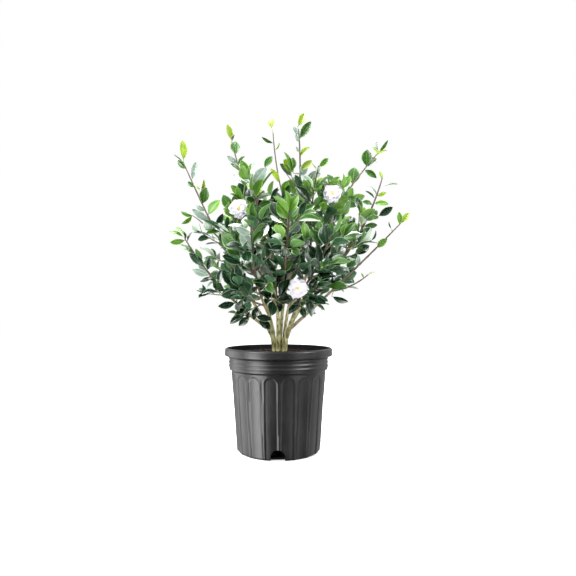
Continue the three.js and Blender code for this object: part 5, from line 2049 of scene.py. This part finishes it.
    def add_leaf(self, axis: Axis, point: Vector, tangent: Vector, angle: float, spin: float,
                 length: float, newness: float, key: int) -> bool:
        """Adds a leaf if it keeps to the mass's own space.

        Args:
            axis: the mass's stem.
            point: where the leaf is rooted.
            tangent: the twig's direction there.
            angle: the leaf's angle from the twig.
            spin: its turn about the twig.
            length: its length before its own variation.
            newness: how near it is to the end of its shoot.
            key: its seed key.

        Returns:
            Whether it was added.
        """
        index = axis.index
        for attempt in range(self.attempts):
            turn = spin + attempt * GOLDEN_ANGLE
            direction = self.offshoot(tangent, angle, turn)
            direction.z += Dice.between(-0.15, 0.3, index, key, attempt, Draw.LEAF_RISE)
            direction.normalize()
            normal = self.light(point)
            normal = (normal - direction * normal.dot(direction)).normalized()
            roll = math.radians(self.leaf_roll * Dice.between(-1, 1, index, key, attempt, Draw.LEAF_ROLL))
            normal = Quaternion(direction, roll) @ normal
            size = length * Dice.between(0.74, 1.2, index, key, Draw.LEAF_SIZE)
            width = size * self.leaf_breadth
            width *= Dice.between(0.86, 1.14, index, key, Draw.LEAF_WIDTH)
            side = direction.cross(normal) * width / 2
            marks = [point + direction * size * share for share in self.mark_shares]
            middle = point + direction * size * self.mark_middle
            marks += [middle + side, middle - side]
            if self.off_limits(marks, index):
                continue
            if min(mark.z for mark in marks) < GROUND_LEVEL + self.ground_clear:
                continue
            if not all(self.clear_of_limbs(mark) for mark in marks) or self.crowded(marks):
                continue
            self.occupy(marks)
            hue = self.hue(point, newness, index, key)
            kind = int(Dice.chance(index, key, Draw.LEAF_KIND) * self.leaf_kinds)
            leaf = Leaf(point.copy(), direction, normal, size, width, kind, hue)
            self.leaves[axis.name].append(leaf)
            return True
        return False

    def add_twig(self, axis: Axis, point: Vector, tangent: Vector, spin: float, length: float,
                 radius: float, key: int, order: int = 1) -> bool:
        """Adds a side twig with its leaves and finer twigs.

        Args:
            axis: the mass's stem.
            point: where the twig leaves.
            tangent: the direction of what it leaves.
            spin: its turn about that.
            length: its length.
            radius: its half thickness at the foot.
            key: its seed key.
            order: 1 for a twig of the stem, 2 for one of a twig.

        Returns:
            Whether it was added.
        """
        index = axis.index
        direction = self.offshoot(tangent, self.twig_angle, spin)
        tip = point + direction * length
        tip.z += length * Dice.between(0.05, 0.3, index, key, Draw.TWIG_RISE)
        curve = Bow(point, point + direction * length * 0.55, tip)
        checks = [curve.point(share) for share in (0.4, 0.7, 1.0)]
        if self.off_limits(checks, index) or not all(self.clear_of_limbs(mark) for mark in checks):
            return False
        self.twigs[axis.name].append(Twig(curve, radius, self.tip_radius, order == 2))
        count = max(1, int((length - self.twig_bare) / self.leaf_spacing))
        for n in range(count):
            share = (self.twig_bare + n * self.leaf_spacing) / length
            seat, ahead = curve.point(share), curve.tangent(share)
            leaf_spin = Dice.between(-35, 35, index, key, n, Draw.TWIG_SPIN) + (180 if n % 2 else 0)
            forks = order == 1 and n % 2 == 1 and length > self.fork_from
            own_key = key * self.twig_keys + n
            if forks and self.add_twig(axis, seat, ahead, leaf_spin, length * self.fork_length,
                                       radius * self.fork_thin, own_key, 2):
                continue
            self.add_leaf(axis, seat, ahead, self.leaf_angle, leaf_spin, self.leaf_length,
                          0.35 * share, own_key)
        end, ahead = curve.point(self.twig_end), curve.tangent(self.twig_end)
        for extra, (angle, turn) in enumerate(self.tip_leaves):
            self.add_leaf(axis, end, ahead, angle, turn, self.leaf_length * (0.95 - 0.12 * extra),
                          0.5, key * self.twig_keys + 13 + extra)
        return True

    def grow(self, axis: Axis) -> None:
        """Grows one mass along its stem, from the tip down.

        Args:
            axis: the mass's stem.
        """
        curve, shoot, index = axis.curve, axis.shoot, axis.index
        length = curve.length
        tangent = curve.tangent(1.0)
        laid_from = LAID_FROM.get(shoot.name, 1.0)
        if laid_from == 1.0:
            end = curve.point(self.stem_end)
            for extra, (angle, turn) in enumerate(self.end_leaves):
                self.add_leaf(axis, end, tangent, angle, turn,
                              self.leaf_length * (0.92 - 0.14 * extra), 1.0, 7 + extra)
        nodes = int((length - 8.0) / self.node_spacing)
        for node in range(nodes, -1, -1):
            for half in (0, 1):
                place = (node + 0.5 * half) * self.node_spacing
                share = (length - self.end_bare - place) / length
                if share < self.stem_bare or share > laid_from:
                    continue
                point, tangent = curve.point(share), curve.tangent(share)
                spin = (node + 0.5 * half) * GOLDEN_ANGLE
                spin += Dice.between(-25, 25, index, node, 1 + half)
                key = 100 + node + 700 * half
                twig = shoot.reach * (1 - 0.5 * share)
                twig = twig * Dice.between(0.72, 1.12, index, node, 2) * self.twig_stretch
                radius = min(self.twig_radius, axis.radius_at(share))
                grown = False
                if share < shoot.twigs and not half:
                    for shift in (0, 120, 240):
                        grown = grown or self.add_twig(
                            axis, point, tangent, spin + shift, twig, radius, key + shift)
                if not grown:
                    self.add_leaf(axis, point, tangent, self.leaf_angle, spin, self.leaf_length,
                                  max(0.0, (share - 0.5) * 2.0), key + 500)


@dataclass
class Foliage:
    """Joins the grown twigs and leaves, each kind apart."""

    crown: Crown
    shapes: LeafShapes = field(default_factory=LeafShapes)
    bark: BarkFinish = field(default_factory=lambda: BarkFinish(
        "twig_bark", "6e6244", "594a40", "3f342c", "8c7c64", 0.3, 0.45, 5.0, 0.6, 0.0003))
    green: GrainFinish = field(default_factory=lambda: GrainFinish(
        "green_shoot", "7f9a4a", "93a85a", 0.5))

    def stems(self, effects: Effects) -> list[bpy.types.Object]:
        """The stems with their twigs.

        Args:
            effects: the shared node groups.

        Returns:
            The ones in brown bark and the finest ones in green.
        """
        brown, green, nodes = [], [], []
        for axis in self.crown.skeleton.stems:
            steps = max(8, round(axis.curve.length / 7.0))
            shares = [n / steps for n in range(steps + 1)]
            radii = [axis.radius_at(s) * MM * (1.08 if n % 3 == 0 else 0.97) * (0.9 if s > 0.9 else 1.0)
                     for n, s in enumerate(shares)]
            brown.append(tube([axis.curve.point(s) * MM for s in shares], radii, 8))
            nodes.append(axis.name)
            for twig in self.crown.twigs[axis.name]:
                steps = max(3, round(twig.curve.length / 8.0))
                shares = [n / steps for n in range(steps + 1)]
                path = [twig.curve.point(s) * MM for s in shares]
                radii = [mix(twig.thick, twig.thin, s) * MM * (1.1 if n % 2 else 0.95)
                         for n, s in enumerate(shares)]
                (green if twig.green else brown).append(tube(path, radii, 5))
        stems = Piece.from_shapes("twigs_brown", brown, [self.bark.make(effects)])
        shoots = Piece.from_shapes("twigs_green", green, [self.green.make(effects)])
        return [Piece.settle(stems, "foliage", nodes), Piece.settle(shoots, "foliage", nodes)]

    def leaves(self, effects: Effects) -> list[bpy.types.Object]:
        """The leaves.

        Args:
            effects: the shared node groups.

        Returns:
            One piece for each hue.
        """
        kinds = self.shapes.all()
        made = []
        for hue in Hue:
            blades, nodes = [], []
            for name, leaves in self.crown.leaves.items():
                chosen = [leaf for leaf in leaves if leaf.hue is hue]
                blades += [kinds[leaf.kind].placed(leaf.matrix()) for leaf in chosen]
                nodes += [name] if chosen else []
            if not blades:
                continue
            finishes = [LEAF_FACES[hue].make(effects), LEAF_BACKS[hue].make(effects)]
            obj = Piece.from_shapes("leaves_" + hue.value, blades, finishes)
            made.append(Piece.settle(obj, "foliage", nodes))
            LOG.info("%s: %d leaves", obj.name, len(blades))
        return made


# ---------------------------------------------------------------- blossom


@dataclass
class Bloom:
    """An open blossom: the mass it grows in, its centre and the way it faces, in millimetres."""

    shoot: str
    at: float
    centre: Vector
    facing: Vector

    @property
    def out(self) -> Vector:
        """The unit vector the blossom faces along."""
        return self.facing.normalized()


BLOOMS = (
    Bloom("left_front", 0.72, Vector((-75, -100, 481)), Vector((0.04, -0.98, 0.06))),
    Bloom("right_front", 0.7, Vector((103, -86, 513)), Vector((-0.06, -0.98, 0.04))),
    Bloom("front_low_right", 0.62, Vector((35, -128, 329)), Vector((0.02, -0.98, 0.04))),
)


@dataclass
class Blossom:
    """The petals, stamens, cups and stalks of the open blossoms."""

    skeleton: Skeleton
    radius: float = 18.6
    whorls: tuple[tuple[int, float, float, float], ...] = (
        (9, 1.0, 3.0, 0.0), (9, 0.92, 12.0, 20.0), (7, 0.7, 26.0, 6.0))
    petal_breadth: float = 0.84
    stamens: int = 26
    stamen_reach: tuple[float, float] = (4.2, 6.6)
    stamen_lean: float = 34.0
    stamen_radius: float = 0.22
    anther: Triple = (0.46, 0.46, 0.62)
    petal_claw: float = 0.14
    ruffle: float = 0.08
    notch: float = 0.05
    whorl_step: float = 1.1
    whorl_sink: float = 2.4
    cup_depth: float = 12.0
    stalk_radius: float = 1.2
    cup_flare: float = 1.3
    petal: PetalFinish = field(default_factory=PetalFinish)
    pollen: GrainFinish = field(default_factory=lambda: GrainFinish(
        "pollen_yellow", "f3dd86", "e6c562", 0.7))
    thread: GrainFinish = field(default_factory=lambda: GrainFinish(
        "filament_cream", "fbf6da", "f3e9b4", 0.5))
    cup: GrainFinish = field(default_factory=lambda: GrainFinish(
        "calyx_green", "7c9a4e", "93aa62", 0.5))

    def petal_shape(self, kind: int) -> Shape:
        """One kind of petal, cupped, ruffled and notched at its tip.

        Args:
            kind: its number, from 0 to 3.

        Returns:
            A petal of unit length and half width.
        """
        bm = bmesh.new()
        bmesh.ops.create_grid(bm, x_segments=6, y_segments=8, size=1.0)
        layer = bm.loops.layers.uv.verify()
        for face in bm.faces:
            for loop in face.loops:
                loop[layer].uv = (0.5 + 0.5 * loop.vert.co.x, 0.5 + 0.5 * loop.vert.co.y)
        for vert in bm.verts:
            across, t = vert.co.x, 0.5 + 0.5 * vert.co.y
            narrowing = 1.0 - 0.9 * max(t - 0.72, 0.0)
            half = math.sin(math.pi * min(t * 0.74, 0.5)) ** 0.9 * narrowing
            half = self.petal_claw + (1 - self.petal_claw) * half
            aside = min(abs(across - 0.2 * (kind - 1.5)) * 2.6, 1.0)
            notch = self.notch * (1.0 - aside) if t > 0.95 else 0.0
            round_off = 0.3 * abs(across) ** 2.0 * t
            along = t - round_off - notch
            ruffle = self.ruffle * math.sin(across * 6.5 + kind * 2.1 + t * 4.0) * t * t
            cup = 0.22 * across * across * half + 0.1 * t * t * (1 if kind % 2 else 0.4)
            vert.co = Vector((across * half, along, cup + ruffle))
        bmesh.ops.solidify(bm, geom=list(bm.faces), thickness=0.012)
        bmesh.ops.recalc_face_normals(bm, faces=bm.faces)
        return Shape.of(bm)

    @staticmethod
    def bead() -> Shape:
        """A rounded bead.

        Returns:
            The bead, of unit radius.
        """
        bm = bmesh.new()
        bmesh.ops.create_icosphere(bm, subdivisions=2, radius=1.0)
        bm.loops.layers.uv.verify()
        return Shape.of(bm)

    def build(self, effects: Effects) -> list[bpy.types.Object]:
        """Makes every open blossom.

        Args:
            effects: the shared node groups.

        Returns:
            The petals and the hearts.
        """
        kinds = [self.petal_shape(kind) for kind in range(4)]
        bead = self.bead()
        petals, hearts, nodes = [], [], []
        for number, bloom in enumerate(BLOOMS):
            stem = next(axis for axis in self.skeleton.stems if axis.name == "foliage_" + bloom.shoot)
            nodes.append(stem.name)
            out = bloom.out
            turn = out.to_track_quat("Z", "Y").to_matrix().to_4x4()
            place = Matrix.Translation(bloom.centre * MM) @ turn
            for whorl, (count, share, lift, start) in enumerate(self.whorls):
                for leaf in range(count):
                    key = number * 100 + whorl * 20 + leaf
                    bearing = start + 360 / count * leaf
                    bearing += Dice.between(-9, 9, key, Draw.PETAL_BEARING)
                    length = self.radius * share * Dice.between(0.9, 1.06, key, Draw.PETAL_LENGTH)
                    tilt = lift + Dice.between(-7, 7, key, Draw.PETAL_TILT)
                    grow = Matrix.Rotation(math.radians(bearing), 4, "Z")
                    sunk = whorl * self.whorl_step - self.whorl_sink
                    grow = grow @ Matrix.Translation((0, 0.9 * MM, sunk * MM))
                    grow = grow @ Matrix.Rotation(math.radians(tilt), 4, "X")
                    roll = math.radians(Dice.between(-10, 10, key, Draw.PETAL_ROLL))
                    grow = grow @ Matrix.Rotation(roll, 4, "Y")
                    half = length * self.petal_breadth / 2
                    size = Matrix.Diagonal((half * MM, length * MM, length * MM, 1.0))
                    petals.append(kinds[key % 4].placed(place @ grow @ size))
            for thread in range(self.stamens):
                key = number * 100 + thread
                lean = math.radians(self.stamen_lean) * math.sqrt(Dice.chance(key, Draw.STAMEN_LEAN))
                bearing = math.radians(GOLDEN_ANGLE * thread)
                reach = mix(*self.stamen_reach, Dice.chance(key, Draw.STAMEN_LENGTH))
                aside = math.sin(lean)
                way = Vector((aside * math.cos(bearing), aside * math.sin(bearing), math.cos(lean)))
                foot, tip = place @ (way * 0.4 * MM), place @ (way * reach * MM)
                path = [foot, foot.lerp(tip, 0.5), tip]
                hearts.append(tube(path, [self.stamen_radius * MM] * 3, 3, 1))
                scale = Matrix.Diagonal((*(radius * MM for radius in self.anther), 1.0))
                hearts.append(bead.placed(Matrix.Translation(tip) @ turn @ scale))
            back = bloom.centre - out * 2.0
            leave = stem.curve.point(bloom.at)
            stalk = Bow(leave, back - out * self.cup_depth, back)
            path = [stalk.point(n / 8) * MM for n in range(9)]
            radii = [(self.stalk_radius + max(n - 6, 0) * self.cup_flare) * MM for n in range(9)]
            hearts.append(tube(path, radii, 8, 2))
        flowers = Piece.from_shapes("petals", petals, [self.petal.make(effects)], 70.0)
        finishes = [self.pollen.make(effects), self.thread.make(effects), self.cup.make(effects)]
        middle = Piece.from_shapes("stamens", hearts, finishes, 70.0)
        return [Piece.settle(flowers, "foliage", nodes), Piece.settle(middle, "foliage", nodes)]


# ---------------------------------------------------------------- studio


@dataclass(frozen=True)
class Softbox:
    """A rectangular light, with its place and size in metres and its power in watts.

    target is the height on the upright axis that it faces. With pot_only it lights the pot alone,
    for the gloss of its plastic.
    """

    name: str
    place: Triple
    size: tuple[float, float]
    power: float
    target: float
    pot_only: bool = False


SOFTBOXES = (
    Softbox("key_left", (-2.4, -1.8, 2.4), (1.9, 2.2), 190.0, 0.4),
    Softbox("fill_right", (2.9, -1.7, 2.0), (1.7, 2.0), 112.0, 0.4),
    Softbox("top", (0.0, 0.1, 3.2), (1.9, 1.9), 265.0, 0.4),
    Softbox("pot_left", (-1.2, -0.95, -0.3), (0.78, 1.3), 34.0, 0.1, True),
    Softbox("pot_right", (1.05, -1.05, -0.3), (0.5, 1.3), 4.0, 0.1, True),
    Softbox("rim_left", (-1.45, 0.35, 0.0), (1.2, 1.4), 15.0, 0.1, True),
    Softbox("rim_right", (1.45, 0.45, 0.0), (0.8, 1.4), 1.6, 0.1, True),
)


@dataclass
class Studio:
    """The floor, the lights and the camera."""

    camera_back: float = 0.95
    camera_height: float = 0.279
    lens: float = 28.19
    shift_up: float = 0.0486
    shift_side: float = 0.0165
    front_fill: float = 0.03
    back_fill: float = 0.55
    top_fill: float = 0.22
    sheen: float = 0.6
    behind_band: tuple[float, float] = (-0.9, 0.6)
    above_band: tuple[float, float] = (0.0, 1.0)
    rear_band: tuple[float, float] = (-0.3, 0.5)
    over_band: tuple[float, float] = (-0.05, 0.7)
    over_fill: float = 0.02
    floor_half: float = 6.0
    floor_drop: float = 0.0002

    def camera(self) -> None:
        """The camera at the front, level, a little below the crown's middle."""
        data = bpy.data.cameras.new("camera")
        data.sensor_width = 36.0
        data.lens = self.lens
        data.shift_x = self.shift_side
        data.shift_y = self.shift_up
        data.clip_start = 0.01
        obj = bpy.data.objects.new("camera", data)
        obj.location = (0.0, -self.camera_back, self.camera_height)
        obj.rotation_euler = (math.radians(90), 0.0, 0.0)
        bpy.context.scene.collection.objects.link(obj)
        bpy.context.scene.camera = obj

    def floor(self, effects: Effects) -> None:
        """A wide pale floor at the pot's underside.

        Args:
            effects: the shared node groups.
        """
        bm = bmesh.new()
        bmesh.ops.create_grid(bm, x_segments=4, y_segments=4, size=self.floor_half)
        obj = Piece.from_bmesh("floor", bm, [FloorFinish().make(effects)])
        obj.location = (0.0, 0.0, -self.floor_drop)
        obj.visible_glossy = False

    @staticmethod
    def light(box: Softbox, pots: bpy.types.Collection) -> None:
        """Sets up one light.

        Args:
            box: the light.
            pots: what a light for the pot alone shines on.
        """
        data = bpy.data.lights.new(box.name, "AREA")
        data.shape = "RECTANGLE"
        data.size, data.size_y = box.size
        data.energy = box.power
        obj = bpy.data.objects.new(box.name, data)
        obj.location = box.place
        way = Vector((0.0, 0.0, box.target)) - Vector(box.place)
        obj.rotation_euler = way.to_track_quat("-Z", "Y").to_euler()
        if box.pot_only:
            obj.light_linking.receiver_collection = pots
            obj.visible_diffuse = False
        obj.visible_camera = False
        bpy.context.scene.collection.objects.link(obj)

    def world(self) -> None:
        """White surroundings, brighter behind and above; reflections see a dark front and floor."""
        world = bpy.data.worlds.new("studio")
        world.use_nodes = True
        tree = world.node_tree
        tree.nodes.clear()
        wiring = Wiring(tree)
        way = wiring.add("SeparateXYZ", {0: wiring.add("TexCoord").outputs["Generated"]})
        rays = wiring.add("LightPath")
        back, up = way.outputs[1], way.outputs[2]
        behind = wiring.band(back, *self.behind_band, self.front_fill, self.back_fill)
        above = wiring.band(up, *self.above_band, 0.0, self.top_fill)
        diffuse = wiring.maths("ADD", behind, above)
        rear = wiring.band(back, *self.rear_band)
        over = wiring.band(up, *self.over_band, self.over_fill, 1.0)
        glossy = wiring.maths("MULTIPLY", wiring.maths("ADD", rear, over), self.sheen)
        white = (1.0, 1.0, 1.0, 1.0)
        plain, mirrored, seen = (
            wiring.add("Background", {"Color": white, "Strength": strength}).outputs[0]
            for strength in (diffuse, glossy, 1.0)
        )
        values = {0: rays.outputs["Is Glossy Ray"], 1: plain, 2: mirrored}
        joined = wiring.add("MixShader", values).outputs[0]
        values = {0: rays.outputs["Is Camera Ray"], 1: joined, 2: seen}
        wiring.add("OutputWorld", {0: wiring.add("MixShader", values).outputs[0]})
        bpy.context.scene.world = world

    def build(self, effects: Effects, pot: bpy.types.Object) -> None:
        """Sets the whole studio up, with four lights for the pot's gloss alone.

        Args:
            effects: the shared node groups.
            pot: the pot.
        """
        glossy = bpy.data.collections.new("strip_lit")
        glossy.objects.link(pot)
        self.camera()
        self.floor(effects)
        self.world()
        for box in SOFTBOXES:
            self.light(box, glossy)
        view = bpy.context.scene.view_settings
        view.view_transform = "Standard"
        view.look = "None"


def main() -> None:
    """Builds the pot with its studio, then the bark mix and the plant."""
    logging.basicConfig(level=logging.INFO, format="%(name)s: %(message)s")
    effects = Effects()
    pot = Pot()
    Studio().build(effects, pot.build(effects))
    BarkMix(pot).build(effects)
    skeleton = Skeleton()
    BarkLimbs(skeleton).build(effects)
    crown = Crown(skeleton, BLOOMS)
    foliage = Foliage(crown)
    foliage.stems(effects)
    foliage.leaves(effects)
    Blossom(skeleton).build(effects)


if __name__ == "__main__":
    main()
